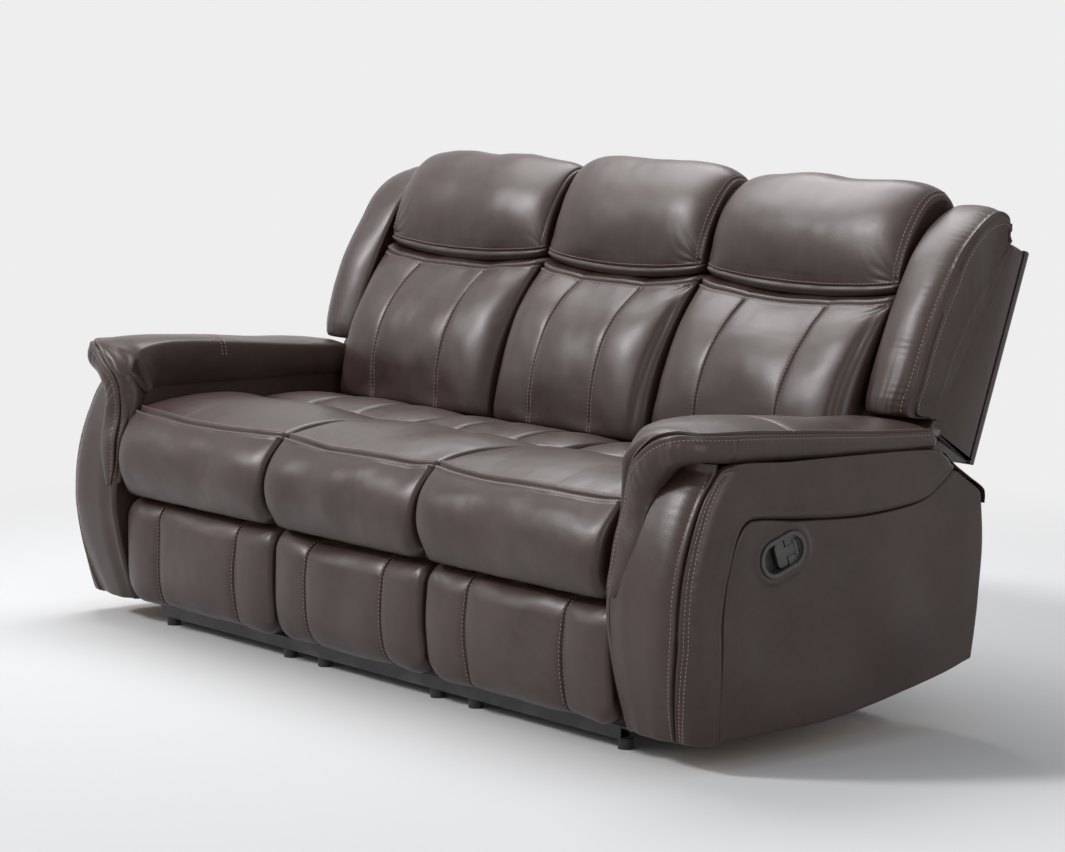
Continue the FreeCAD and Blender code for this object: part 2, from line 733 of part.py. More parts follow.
def racetrack(x, radius):
    """The latch's long round shape, in its own axes."""
    return bar(x, (-LATCH_HALF_RUN, 0), (LATCH_HALF_RUN, 0), radius)


def latch_cross_rod(radius, half_length, x):
    """A rod across the latch at the lever's hinge, in the latch's own axes."""
    return Part.makeCylinder(radius, 2 * half_length, Vector(x, LEVER_HINGE_AT, -half_length))


LEVER_X = -LEVER_SETBACK - LEVER_THICKNESS / 2


def latch_pocket():
    """The hole that the latch bezel drops into."""
    depth = (-LATCH_DEPTH - LATCH_POCKET_CLEARANCE, LATCH_DEPTH)
    return latch_placed(racetrack(depth, LATCH_RADIUS + LATCH_POCKET_CLEARANCE))


def latch_pin():
    """The steel pin that the release lever turns on."""
    return latch_placed(latch_cross_rod(LATCH_PIN_RADIUS, LATCH_PIN_HALF_LENGTH, LEVER_X))


def latch_bezel():
    """The moulded dish of the release latch, with a flange on the upholstery."""
    dish = racetrack((-LATCH_DEPTH, LATCH_FLANGE_THICKNESS), LATCH_RADIUS)
    flange = racetrack((0, LATCH_FLANGE_THICKNESS), LATCH_RADIUS + LATCH_FLANGE)
    floor = -LATCH_DEPTH + LATCH_WALL
    inside = (floor, LATCH_FLANGE_THICKNESS + 1)
    hollow = racetrack(inside, LATCH_RADIUS - LATCH_WALL).cut(latch_ledge(floor))
    shell = fused([dish, flange]).cut(hollow)
    return latch_placed(shell.cut(latch_cross_rod(LATCH_PIN_RADIUS, LATCH_PIN_HALF_LENGTH, LEVER_X)))


def latch_ledge(floor):
    """The raised rear of the dish, level with the lever and slotted for its neck and hub."""
    x = (floor, -LEVER_SETBACK)
    ledge = block(x, (LATCH_LEDGE_AT, LATCH_HALF_RUN + LATCH_RADIUS), (-LATCH_RADIUS, LATCH_RADIUS))
    neck = LEVER_NECK_HALF_WIDTH + LEVER_PLAY
    hub = LEVER_HUB_HALF_LENGTH + LEVER_PLAY
    reach = LEVER_HUB_RADIUS + LEVER_PLAY
    ledge = ledge.cut(block(x, (LATCH_LEDGE_AT, LEVER_HINGE_AT + reach), (-neck, neck)))
    return ledge.cut(block(x, (LEVER_HINGE_AT - reach, LEVER_HINGE_AT + reach), (-hub, hub)))


def latch_lever():
    """The release paddle: a wide grip with round front corners, a neck and a hub on the pin."""
    x = (LEVER_X - LEVER_THICKNESS / 2, LEVER_X + LEVER_THICKNESS / 2)
    edge = LEVER_HALF_WIDTH - LEVER_CORNER
    corner_at = LEVER_FRONT + LEVER_CORNER
    grip = block(x, (corner_at, LEVER_SHOULDER), (-LEVER_HALF_WIDTH, LEVER_HALF_WIDTH))
    rim = bar(x, (corner_at, -edge), (corner_at, edge), LEVER_CORNER)
    neck = block(x, (LEVER_SHOULDER, LEVER_HINGE_AT), (-LEVER_NECK_HALF_WIDTH, LEVER_NECK_HALF_WIDTH))
    hub = latch_cross_rod(LEVER_HUB_RADIUS, LEVER_HUB_HALF_LENGTH, LEVER_X)
    bore = latch_cross_rod(LATCH_PIN_RADIUS + HOLE_CLEARANCE, LATCH_PIN_HALF_LENGTH, LEVER_X)
    return latch_placed(fused([grip, rim, neck, hub]).cut(bore))


def arm_hollow(x):
    """The hollows beside the web of an arm's core, parted by upright ribs."""
    border = ARM_FRAME_BORDER
    front = -385
    rear = ARM_REAR_BOARD_Y - border
    top = PAD_BOTTOM - border
    outline = Outline(
        [(rear, 86 + border), (-167, 12 + border), (-372, 3 + border), (front, 208), (-340, top), (190, top),
         (rear, 405)],
        [12, 0, 0, 0, 0, 0, 0],
    )
    hollow = side_prism(outline, *x)
    step = (rear - front + ARM_RIB) / (ARM_RIB_COUNT + 1)
    for number in range(1, ARM_RIB_COUNT + 1):
        at = front + number * step - ARM_RIB
        hollow = hollow.cut(block(x, (at, at + ARM_RIB), (0, PAD_BOTTOM)))
    return hollow


def arm_frame():
    """The timber core of the right arm: a border and a middle web."""
    x = (ARM_FRAME_INNER_X, ARM_FRAME_OUTER_X)
    core = side_prism(ARM_OUTLINE, *x)
    core = core.common(side_prism(shifted(ARM_OUTLINE, ARM_FRONT_PADDING, 0), *x))
    core = core.common(block(x, (BASE_FRONT_Y - 150, ARM_REAR_BOARD_Y), (-10, 600)))
    middle = (x[0] + x[1]) / 2
    core = core.cut(arm_hollow((x[0], middle - ARM_WEB / 2)))
    core = core.cut(arm_hollow((middle + ARM_WEB / 2, x[1])))
    return core.cut(latch_pocket())


def arm_front_panel():
    """The padded front of the right arm."""
    x = (ARM_FRAME_INNER_X, ARM_FRAME_OUTER_X)
    whole = side_prism(ARM_OUTLINE, *x)
    return whole.cut(side_prism(shifted(ARM_OUTLINE, ARM_FRONT_PADDING, 0), *x))


def arm_outer_cover():
    """The upper and front part of the arm's outer face."""
    x = (ARM_FRAME_OUTER_X, ARM_FACE_X)
    return side_prism(ARM_OUTLINE, *x).cut(side_prism(ARM_FIELD, *x))


def arm_side_panel():
    """The sewn field of the outer face, turned round the rear of the arm."""
    x = (ARM_FRAME_OUTER_X, ARM_FACE_X - ARM_FIELD_RECESS)
    field = side_prism(ARM_OUTLINE, *x).common(side_prism(ARM_FIELD, *x))
    rear_x = (ARM_FRAME_INNER_X, ARM_FRAME_OUTER_X)
    rear = side_prism(ARM_OUTLINE, *rear_x).common(block(rear_x, (ARM_REAR_BOARD_Y, 400), (-10, 600)))
    return fused([field, rear]).cut(latch_pocket())


def pad_section(top, corner):
    """A cross section of the arm pad, drawn in by the corner at its outer side."""
    inner = ARM_INNER_X
    outer = HALF_WIDTH - corner
    return Outline(
        [(outer - 4, PAD_BOTTOM), (inner + 2, PAD_BOTTOM), (inner + 9, top - 14), (outer - 16, top - 12)],
        [0, 4, 11, 10],
    )


def arm_pad():
    """The arm's top pad with its front tongue and the inner face, in one cover."""
    fall = PAD_TOP_FRONT - PAD_TOP_REAR
    sections = [
        (-392, pad_section(PAD_TOP_FRONT - 40, 44)),
        (-380, pad_section(PAD_TOP_FRONT - 14, 22)),
        (-345, pad_section(PAD_TOP_FRONT, 5)),
        (-250, pad_section(PAD_TOP_FRONT, 1)),
        (-175, pad_section(PAD_TOP_FRONT - 0.2 * fall, 1)),
        (-60, pad_section(PAD_TOP_FRONT - 0.4 * fall, 1)),
        (120, pad_section(PAD_TOP_REAR, 2)),
        (188, pad_section(PAD_TOP_REAR - 8, 10)),
    ]
    top = soft_loft(front_view, sections)
    inner_x = (ARM_INNER_X, ARM_FRAME_INNER_X)
    inner = side_prism(ARM_OUTLINE, *inner_x)
    tie = block(inner_x, (-368, 184), (480, PAD_BOTTOM + 12))
    front_x = (ARM_INNER_X, ARM_FACE_X)
    band = side_prism(shifted(ARM_OUTLINE, -TONGUE_THICKNESS, 0), *front_x)
    band = band.cut(side_prism(ARM_OUTLINE, *front_x))
    tongue = band.common(front_prism(shifted(TONGUE, ARM_INNER_X, 0), -500, -360))
    whole = fused([inner, tie, top, tongue])
    return whole.cut(block(front_x, (-360, 300), (0, 1)))


def outer_unit(side):
    """Every piece of one end seat, for the right (1) or the left (-1)."""
    name = "right" if side > 0 else "left"
    span = Span(OUTER_INNER_X, OUTER_OUTER_X)
    centre = OUTER_CENTRE_X
    rivets = pivot_rivets(centre)
    pieces = {
        "seat_frame": [seat_frame(span, OUTER_RAIL_OFFSET, SEAT_FRAME_REAR_Y)],
        "seat_springs": seat_springs(span, OUTER_RAIL_OFFSET),
        "seat_cushion": [seat_cushion(span)],
        "mechanism_plates": drilled(seat_plates(centre), rivets),
        "pivot_rivets": rivets,
        "rear_swing_links": swing_links(centre, REAR_SWING_FOOT, REAR_SWING_HEAD, HOLE_CLEARANCE),
        "front_swing_links": swing_links(
            centre, FRONT_SWING_FOOT, FRONT_SWING_HEAD, OPEN_PIVOT_CLEARANCE
        ),
        "lower_footrest_links": lower_footrest_links(centre),
        "upper_footrest_links": upper_footrest_links(centre),
        "footrest_board": hinged_footrest_board(span),
        "footrest_pad": [footrest_pad(span)],
        "back_frame": [back_frame(span, OUTER_RAIL_OFFSET)],
        "back_brackets": back_brackets(centre),
        "back_shell": [winged_back_shell(span)],
        "lumbar_cushion": [lumbar_cushion(span)],
        "headrest": [headrest(span)],
        "wing": [wing(span)],
        "arm_frame": [arm_frame()],
        "arm_front_panel": [arm_front_panel()],
        "arm_outer_cover": [arm_outer_cover()],
        "arm_side_panel": [arm_side_panel()],
        "arm_pad": [arm_pad()],
        "latch_bezel": [latch_bezel()],
        "latch_lever": [latch_lever()],
    }
    if side < 0:
        pieces = {key: [mirrored(shape) for shape in shapes] for key, shapes in pieces.items()}
    return {name + "_" + key: shapes for key, shapes in pieces.items()}


def middle_posts():
    """Posts that stand the fixed seat on its base rails."""
    posts = []
    board_back = BOARD_FRONT_Y + BOARD_THICKNESS
    for x in (-MIDDLE_RAIL_OFFSET, MIDDLE_RAIL_OFFSET):
        half = RAIL_SIZE / 2
        for y in (board_back, SEAT_FRAME_REAR_Y - SEAT_FRAME_MEMBER):
            posts.append(block((x - half, x + half), (y, y + SEAT_FRAME_MEMBER), (0, SEAT_FRAME_BOTTOM)))
    return posts


def middle_unit():
    """Every piece of the fixed middle seat."""
    span = Span(-MIDDLE_HALF, MIDDLE_HALF)
    rear_y = on_back(BACK_FRAME_BOTTOM + BACK_BRACKET_LENGTH, BACK_FRAME_FRONT)[0]
    frame = fused([seat_frame(span, MIDDLE_RAIL_OFFSET, rear_y)] + middle_posts())
    frame = frame.cut(back_slab(span, (0, BACK_TOP), (-BACK_FRAME_FRONT, BACK_FRAME_FRONT)))
    board = footrest_board(span)
    return {
        "middle_seat_frame": [frame],
        "middle_seat_springs": seat_springs(span, MIDDLE_RAIL_OFFSET),
        "middle_seat_cushion": [seat_cushion(span)],
        "middle_front_board": [board],
        "middle_front_pad": [footrest_pad(span)],
        "middle_back_frame": [back_frame(span, MIDDLE_RAIL_OFFSET)],
        "middle_back_shell": [back_panel(span)],
        "middle_lumbar_cushion": [lumbar_cushion(span)],
        "middle_headrest": [headrest(span)],
    }


def write(name, shapes):
    """Lift a node onto its feet and write its file."""
    solids = []
    for shape in shapes:
        for solid in shape.Solids:
            solid = solid.copy()
            solid.translate(Vector(0, -DEPTH_CENTRE_Y, BASE_LIFT))
            solids.append(solid)
    whole = solids[0] if len(solids) == 1 else Part.makeCompound(solids)
    whole.exportStep("parts/" + name + ".step")
    volume = round(sum(solid.Volume for solid in solids))
    state = "valid" if all(solid.isValid() for solid in solids) else "BAD"
    print(name, len(solids), "solids", volume, state)


def main():
    """Build the sofa and write one file per node."""
    os.makedirs("parts", exist_ok=True)
    nodes = {"base_frame": base_frame(), "glide_feet": glide_feet()}
    nodes["latch_pins"] = [latch_pin(), mirrored(latch_pin())]
    nodes.update(middle_unit())
    nodes.update(outer_unit(1))
    nodes.update(outer_unit(-1))
    for name, shapes in nodes.items():
        write(name, shapes)
    print(len(nodes), "nodes")


main()
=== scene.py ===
"""A three-seat reclining sofa in dark brown leather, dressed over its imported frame."""
import logging
import math
from dataclasses import dataclass, field
from enum import Enum
import bpy
import numpy as np
from mathutils import Matrix, Vector


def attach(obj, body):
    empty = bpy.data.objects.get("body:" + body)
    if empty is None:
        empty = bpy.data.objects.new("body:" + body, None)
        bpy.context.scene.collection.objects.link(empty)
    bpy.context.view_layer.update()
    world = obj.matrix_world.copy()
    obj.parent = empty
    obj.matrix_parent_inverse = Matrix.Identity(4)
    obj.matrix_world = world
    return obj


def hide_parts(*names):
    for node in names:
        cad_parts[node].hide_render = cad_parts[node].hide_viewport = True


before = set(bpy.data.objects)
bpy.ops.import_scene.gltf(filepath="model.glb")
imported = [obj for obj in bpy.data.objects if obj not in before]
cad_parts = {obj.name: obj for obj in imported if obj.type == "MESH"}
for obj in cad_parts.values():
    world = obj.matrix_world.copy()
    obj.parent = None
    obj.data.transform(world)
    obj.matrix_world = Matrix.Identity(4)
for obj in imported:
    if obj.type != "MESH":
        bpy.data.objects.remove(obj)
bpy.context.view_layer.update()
LOG = logging.getLogger("sofa")
Array = np.ndarray

# Heights in this script start at the top of the base rails, and depths at the fit frame's middle
DEPTH_SHIFT = -8.0
BASE_LIFT = 47.0
BACK_TILT = 19.2
BACK_FOOT_Y = 195.9
BACK_FRONT = 70.5
ARM_CORNER = 58.0
END_SEAT_CENTRE = 537.75
END_SEAT_HALF = 280.25
MIDDLE_SEAT_HALF = 254.5

# The sewing thread: from stitch to stitch, a stitch's length and the thread's width, in metres
STITCH_PITCH = 0.0080
STITCH_LENGTH = 0.0058
STITCH_WIDTH = 0.0017
# How far the middle of the thread lies above the leather, in millimetres
THREAD_LIFT = 0.25

# The pale background of the photograph, and the largest angle that is shaded smooth
PALE = (0.855, 0.855, 0.855, 1)
SMOOTH_ANGLE = math.radians(62)


def metres(points: Array) -> Array:
    """Millimetres of the maker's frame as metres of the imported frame."""
    return (points + np.array([0.0, DEPTH_SHIFT, BASE_LIFT])) / 1000.0


def placed(name: str, data: bpy.types.ID) -> bpy.types.Object:
    """A new object in the scene."""
    made = bpy.data.objects.new(name, data)
    bpy.context.scene.collection.objects.link(made)
    return made


def smoothstep(t: Array) -> Array:
    """A soft step from 0 to 1 as t goes from 0 to 1."""
    t = np.clip(t, 0.0, 1.0)
    return t * t * (3.0 - 2.0 * t)


def ridge(distance: Array, width: float) -> Array:
    """A soft bump of height 1 and the given half width."""
    return np.exp(-(distance / width) ** 2)


def turned_edge(distance: Array, radius: float) -> Array:
    """How far an edge rolled with that radius draws in at a distance from its end."""
    t = np.clip(1.0 - distance / radius, 0.0, 1.0)
    return radius * (1.0 - np.sqrt(np.maximum(1.0 - t * t, 0.0)))


def on_back(along: float, depth: float) -> tuple[float, float]:
    """The (y, z) place so far up the rear face of a back and so deep in front of it."""
    tilt = math.radians(BACK_TILT)
    y = BACK_FOOT_Y + along * math.sin(tilt) - depth * math.cos(tilt)
    return (y, along * math.cos(tilt) + depth * math.sin(tilt))


class Ripple:
    """Smooth seeded unevenness of leather over its filling."""

    def __init__(self, seed: int, wavelength: float, waves: int = 9) -> None:
        """Draw the waves.

        Args:
            seed: number that fixes the pattern.
            wavelength: typical distance between two swells, in millimetres.
            waves: how many waves are added up.
        """
        rng = np.random.default_rng(seed)
        angle = rng.uniform(0, 2 * math.pi, waves)
        size = 2 * math.pi / (wavelength * rng.uniform(0.7, 1.6, waves))
        self.across = size * np.cos(angle)
        self.along = size * np.sin(angle)
        self.phase = rng.uniform(0, 2 * math.pi, waves)
        self.level = math.sqrt(2.0 / waves)

    def at(self, a: Array, b: Array) -> Array:
        """The swell, about -1 to 1, at places given by two lengths."""
        total = 0.0
        for across, along, phase in zip(self.across, self.along, self.phase):
            total = total + np.sin(across * a + along * b + phase)
        return total * self.level


def puckers(run: Array, pitch: float, seed: int) -> Array:
    """Irregular gathers along a seam, 0 between them and up to 1 in each."""
    drift = Ripple(seed, 9 * pitch).at(run, 0 * run)
    depth = 0.6 + 0.4 * Ripple(seed + 1, 4 * pitch).at(run, 0 * run)
    return np.clip(depth, 0.1, 1.2) * (0.5 + 0.5 * np.cos(2 * math.pi * run / pitch + 2.4 * drift)) ** 2


def folds(out: Array, up: Array, angles: tuple, depth: float, reach: float) -> Array:
    """Sharp folds that run out of a pinched corner.

    Args:
        out: distance from the corner one way, in millimetres.
        up: distance from it the other way.
        angles: the folds' angles, from the first way to the second.
        depth: depth of the deepest fold.
        reach: how far a fold runs.

    Returns:
        The depth of the folds, 0 or more.
    """
    far = np.hypot(out, up)
    angle = np.arctan2(up, out)
    total = 0.0 * far
    for number, place in enumerate(angles):
        aside = far * np.sin(np.clip(angle - place - 0.10 * np.sin(far / 19.0 + number), -1.5, 1.5))
        total = total + ridge(aside, 2.4 + far / 26.0) * (1.0 - 0.22 * number)
    return depth * total * smoothstep(far / 12.0) * np.exp(-(far / reach) ** 2) * (out > -4) * (up > -4)


def graded(length: float, seams: list[float], step: float, fine: float, reach: float = 12.0) -> Array:
    """Places along a length, close together near its seams and ends.

    Args:
        length: the whole length, in millimetres.
        seams: places that need a fine grid.
        step: the usual distance between places.
        fine: the distance at a seam.
        reach: how far the fine grid goes from a seam.

    Returns:
        The places, from 0 to length.
    """
    s = np.linspace(0.0, length, int(length * 2) + 2)
    near = np.min([np.abs(s - seam) for seam in [0.0, length, *seams]], axis=0)
    size = fine + (step - fine) * smoothstep((near - reach) / (1.5 * reach))
    count = np.concatenate([[0.0], np.cumsum(0.5 * (1 / size[1:] + 1 / size[:-1]) * np.diff(s))])
    return np.interp(np.linspace(0.0, count[-1], int(count[-1]) + 2), count, s)


@dataclass(frozen=True)
class Outline:
    """A side outline of knots, joined by lines or by arcs that swell outwards by their bulge."""

    knots: tuple
    bulges: tuple

    def arc(self, index: int) -> Array:
        """Points about a millimetre apart from one knot to the next, both included."""
        start = np.array(self.knots[index], float)
        end = np.array(self.knots[(index + 1) % len(self.knots)], float)
        bulge = self.bulges[index]
        chord = end - start
        run = float(np.hypot(*chord))
        t = np.linspace(0.0, 1.0, max(int(run), 3))[:, None]
        if abs(bulge) < 1e-6:
            return start + chord * t
        normal = np.array([-chord[1], chord[0]]) / run * math.copysign(1.0, bulge)
        sag = abs(bulge)
        radius = (run * run / 4 + sag * sag) / (2 * sag)
        reach = math.asin(min(run / (2 * radius), 1.0))
        angle = (2 * t - 1) * reach
        centre = (start + end) / 2 - normal * (radius - sag)
        return centre + radius * (np.sin(angle) * chord / run + np.cos(angle) * normal)


class Path:
    """A smooth line that is read by knot number or by length."""

    def __init__(self, marks: Array, points: Array, soften: float) -> None:
        """Keep the line.

        Args:
            marks: knot number at each point.
            points: the points, one row each.
            soften: how far corners are rounded, in millimetres.
        """
        length = np.concatenate([[0.0], np.cumsum(np.linalg.norm(np.diff(points, axis=0), axis=1))])
        if soften > 0:
            points = self._softened(length, points, soften)
            length = np.concatenate([[0.0], np.cumsum(np.linalg.norm(np.diff(points, axis=0), axis=1))])
        self.marks = marks
        self.points = points
        self.lengths = length
        self.length = float(length[-1])

    @staticmethod
    def _softened(length: Array, points: Array, soften: float) -> Array:
        """The points after a Gaussian blur along the line, with both ends carried on straight."""
        reach = int(3 * soften)
        even = np.arange(0.0, length[-1] + 1.0, 1.0)
        line = np.column_stack([np.interp(even, length, column) for column in points.T])
        ahead = np.arange(1, reach + 1)[:, None]
        first = line[0] - (line[1] - line[0]) * ahead[::-1]
        last = line[-1] + (line[-2] - line[-3]) * ahead
        padded = np.vstack([first, line, last])
        kernel = np.exp(-0.5 * (np.arange(-reach, reach + 1) / soften) ** 2)
        kernel /= kernel.sum()
        blurred = np.column_stack([np.convolve(column, kernel, "valid") for column in padded.T])
        return np.column_stack([np.interp(length, even, column) for column in blurred.T])

    @classmethod
    def along(cls, outline: Outline, first: int, last: int, soften: float) -> "Path":
        """The part of an outline from one knot to another."""
        marks = []
        points = []
        for number in range(first, last):
            arc = outline.arc(number)
            share = np.linspace(0.0, 1.0, len(arc))
            keep = slice(0, None) if number == last - 1 else slice(0, -1)
            points.append(arc[keep])
            marks.append(number - first + share[keep])
        return cls(np.concatenate(marks), np.vstack(points), soften)

    @classmethod
    def through(cls, knots: list, soften: float = 0.0) -> "Path":
        """A smooth line through points in space or in a plane."""
        p = np.array(knots, float)
        grown = np.vstack([2 * p[0] - p[1], p, 2 * p[-1] - p[-2]])
        marks = []
        points = []
        t = np.linspace(0.0, 1.0, 25)[:-1, None]
        for i in range(len(p) - 1):
            a, b, c, d = grown[i:i + 4]
            chord = np.linalg.norm(c - b)
            m0 = (c - a) / max(np.linalg.norm(c - b) + np.linalg.norm(b - a), 1e-6) * chord
            m1 = (d - b) / max(np.linalg.norm(d - c) + np.linalg.norm(c - b), 1e-6) * chord
            points.append(
                (2 * t**3 - 3 * t**2 + 1) * b + (t**3 - 2 * t**2 + t) * m0
                + (3 * t**2 - 2 * t**3) * c + (t**3 - t**2) * m1
            )
            marks.append(i + t[:, 0])
        points.append(p[-1:])
        marks.append(np.array([len(p) - 1.0]))
        return cls(np.concatenate(marks), np.vstack(points), soften)

    def at(self, marks: Array) -> Array:
        """Points at knot numbers."""
        return np.stack([np.interp(marks, self.marks, column) for column in self.points.T], axis=-1)

    def mark(self, lengths: Array) -> Array:
        """Knot numbers at lengths along the line."""
        return np.interp(lengths, self.lengths, self.marks)

    def place(self, mark: float) -> float:
        """The length along the line at a knot number."""
        return float(np.interp(mark, self.marks, self.lengths))


@dataclass
class Sheet:
    """A grid of points on a leather surface, read by its length along and across."""

    points: Array
    along: Array
    across: Array
    core: Array

    def normals(self) -> Array:
        """Unit directions off the surface, away from the core."""
        down = np.gradient(self.points, axis=0)
        over = np.gradient(self.points, axis=1)
        n = np.cross(down, over)
        n /= np.maximum(np.linalg.norm(n, axis=2, keepdims=True), 1e-9)
        facing = np.sum(n * (self.points - self.core))
        return n if facing >= 0 else -n

    def push(self, amount: Array) -> None:
        """Move every point along its own normal by so many millimetres."""
        self.points = self.points + self.normals() * amount[..., None]

    def trace(self, along: Array, across: Array, lift: float = 0.0) -> tuple[Array, Array]:
        """Points and normals on the surface.

        Args:
            along: lengths along the sheet.
            across: lengths across it, one for each.
            lift: height above the surface.

        Returns:
            The points and their normals.
        """
        row = np.interp(along, self.along, np.arange(len(self.along)))
        column = np.interp(across, self.across, np.arange(len(self.across)))
        r0 = np.clip(row.astype(int), 0, len(self.along) - 2)
        c0 = np.clip(column.astype(int), 0, len(self.across) - 2)
        fr = (row - r0)[:, None]
        fc = (column - c0)[:, None]
        found = []
        for grid in (self.points, self.normals()):
            top = grid[r0, c0] * (1 - fc) + grid[r0, c0 + 1] * fc
            low = grid[r0 + 1, c0] * (1 - fc) + grid[r0 + 1, c0 + 1] * fc
            found.append(top * (1 - fr) + low * fr)
        found[1] /= np.maximum(np.linalg.norm(found[1], axis=1, keepdims=True), 1e-9)
        return found[0] + found[1] * lift, found[1]


def lower(sheet: Sheet, dip: Array) -> None:
    """Let a sheet's points slide down the slope of the back."""
    tilt = math.radians(BACK_TILT)
    sheet.points[..., 1] -= dip * math.sin(tilt)
    sheet.points[..., 2] -= dip * math.cos(tilt)


def cubic_weights(place: Array, count: int) -> tuple[Array, Array]:
    """Neighbours and weights that read a coarse line smoothly at fractional places.

    Args:
        place: fractional places on the line.
        count: how many points the line has.

    Returns:
        The four neighbours of each place and their weights.
    """
    base = np.clip(np.floor(place).astype(int), 0, count - 2)
    t = (place - base)[:, None]
    near = np.clip(base[:, None] + np.arange(-1, 3), 0, count - 1)
    weights = np.concatenate([
        -0.5 * t + t**2 - 0.5 * t**3, 1 - 2.5 * t**2 + 1.5 * t**3,
        0.5 * t + 2 * t**2 - 1.5 * t**3, -0.5 * t**2 + 0.5 * t**3,
    ], axis=1)
    return near, weights


@dataclass(frozen=True)
class ClothFill:
    """Lets a cover swell over its filling, held where it is sewn down.

    Attributes:
        pressure: how hard the filling presses.
        spare: share of cloth that the cover has beyond its flat size.
        frames: how many frames the cloth is simulated.
        cap: the largest movement, in millimetres.
        cell: size of a simulated cell, in millimetres.
        hold: how far from a seam the cloth is held, in cells.
        give: share of its movement that a held point keeps.
        passes: how often the movement is evened out.
    """

    pressure: float = 5.0
    spare: float = 0.008
    frames: int = 20
    cap: float = 13.0
    cell: float = 13.0
    hold: float = 0.55
    give: float = 0.35
    passes: int = 4

    def swollen(self, sheet: Sheet, seams: list) -> Array:
        """How a sheet's points move when its cloth is filled.

        Args:
            sheet: the cover before it is shaped.
            seams: functions of (along, across) grids that are 0 on a seam, in millimetres.

        Returns:
            Moves in millimetres, one for each point of the sheet.
        """
        rows = self._picked(sheet.along)
        columns = self._picked(sheet.across)
        coarse = sheet.points[np.ix_(rows, columns)]
        run, over = np.meshgrid(sheet.along[rows], sheet.across[columns], indexing="ij")
        held = np.zeros(run.shape)
        held[[0, -1], :] = 1.0
        held[:, [0, -1]] = 1.0
        for seam in seams:
            held = np.maximum(held, np.abs(seam(run, over)) < self.hold * self.cell)
        moved = self._simulated(coarse, held, sheet.core) - coarse
        for _ in range(self.passes):
            around = moved[:-2, 1:-1] + moved[2:, 1:-1] + moved[1:-1, :-2] + moved[1:-1, 2:]
            moved[1:-1, 1:-1] = 0.5 * moved[1:-1, 1:-1] + 0.125 * around
        moved[held > 0.5] *= self.give
        size = np.linalg.norm(moved, axis=2, keepdims=True)
        moved *= self.cap * np.tanh(size / self.cap) / np.maximum(size, 1e-6)
        near_row, weight_row = cubic_weights(self._places(sheet.along, rows), len(rows))
        near_column, weight_column = cubic_weights(self._places(sheet.across, columns), len(columns))
        tall = np.einsum("ikjc,ik->ijc", moved[near_row], weight_row)
        return np.einsum("ijkc,jk->ijc", tall[:, near_column], weight_column)

    @staticmethod
    def _places(lengths: Array, picked: Array) -> Array:
        """Fractional places of every grid line among the picked ones."""
        return np.interp(np.arange(len(lengths)), picked, np.arange(len(picked)))

    def _picked(self, lengths: Array) -> Array:
        """Grid lines about one cell apart."""
        count = max(int(lengths[-1] / self.cell), 6)
        wanted = np.linspace(lengths[0], lengths[-1], count + 1)
        return np.unique(np.searchsorted(lengths, wanted - 1e-6).clip(0, len(lengths) - 1))

    def _simulated(self, grid: Array, held: Array, core: Array) -> Array:
        """The grid after its cloth has been blown up."""
        rows, columns = grid.shape[:2]
        faces = [(i * columns + j, i * columns + j + 1, (i + 1) * columns + j + 1, (i + 1) * columns + j)
                 for i in range(rows - 1) for j in range(columns - 1)]
        middle = grid[rows // 2, columns // 2]
        beside, below = grid[rows // 2, columns // 2 + 1], grid[rows // 2 + 1, columns // 2]
        normal = np.cross(beside - middle, below - middle)
        if np.dot(normal, middle - core) < 0:
            faces = [tuple(reversed(face)) for face in faces]
        mesh = bpy.data.meshes.new("cloth")
        mesh.from_pydata((grid.reshape(-1, 3) / 1000.0).tolist(), [], faces)
        cloth = placed("cloth", mesh)
        group = cloth.vertex_groups.new(name="held")
        group.add([int(i) for i in np.flatnonzero(held.ravel() > 0.5)], 1.0, "REPLACE")
        modifier = cloth.modifiers.new("cloth", "CLOTH")
        settings = modifier.settings
        settings.vertex_group_mass = "held"
        settings.quality = 6
        settings.mass = 0.35
        settings.tension_stiffness = 18.0
        settings.compression_stiffness = 18.0
        settings.shear_stiffness = 8.0
        settings.bending_stiffness = 0.6
        settings.use_pressure = True
        settings.uniform_pressure_force = self.pressure
        settings.shrink_min = -self.spare
        settings.shrink_max = -self.spare
        settings.effector_weights.gravity = 0.0
        modifier.collision_settings.use_collision = False
        modifier.point_cache.frame_end = self.frames
        for number in range(1, self.frames + 1):
            bpy.context.scene.frame_set(number)
        graph = bpy.context.evaluated_depsgraph_get()
        real = cloth.evaluated_get(graph).to_mesh()
        found = np.zeros(rows * columns * 3)
        real.vertices.foreach_get("co", found)
        bpy.data.objects.remove(cloth)
        bpy.data.meshes.remove(mesh)
        bpy.context.scene.frame_set(1)
        return found.reshape(rows, columns, 3) * 1000.0


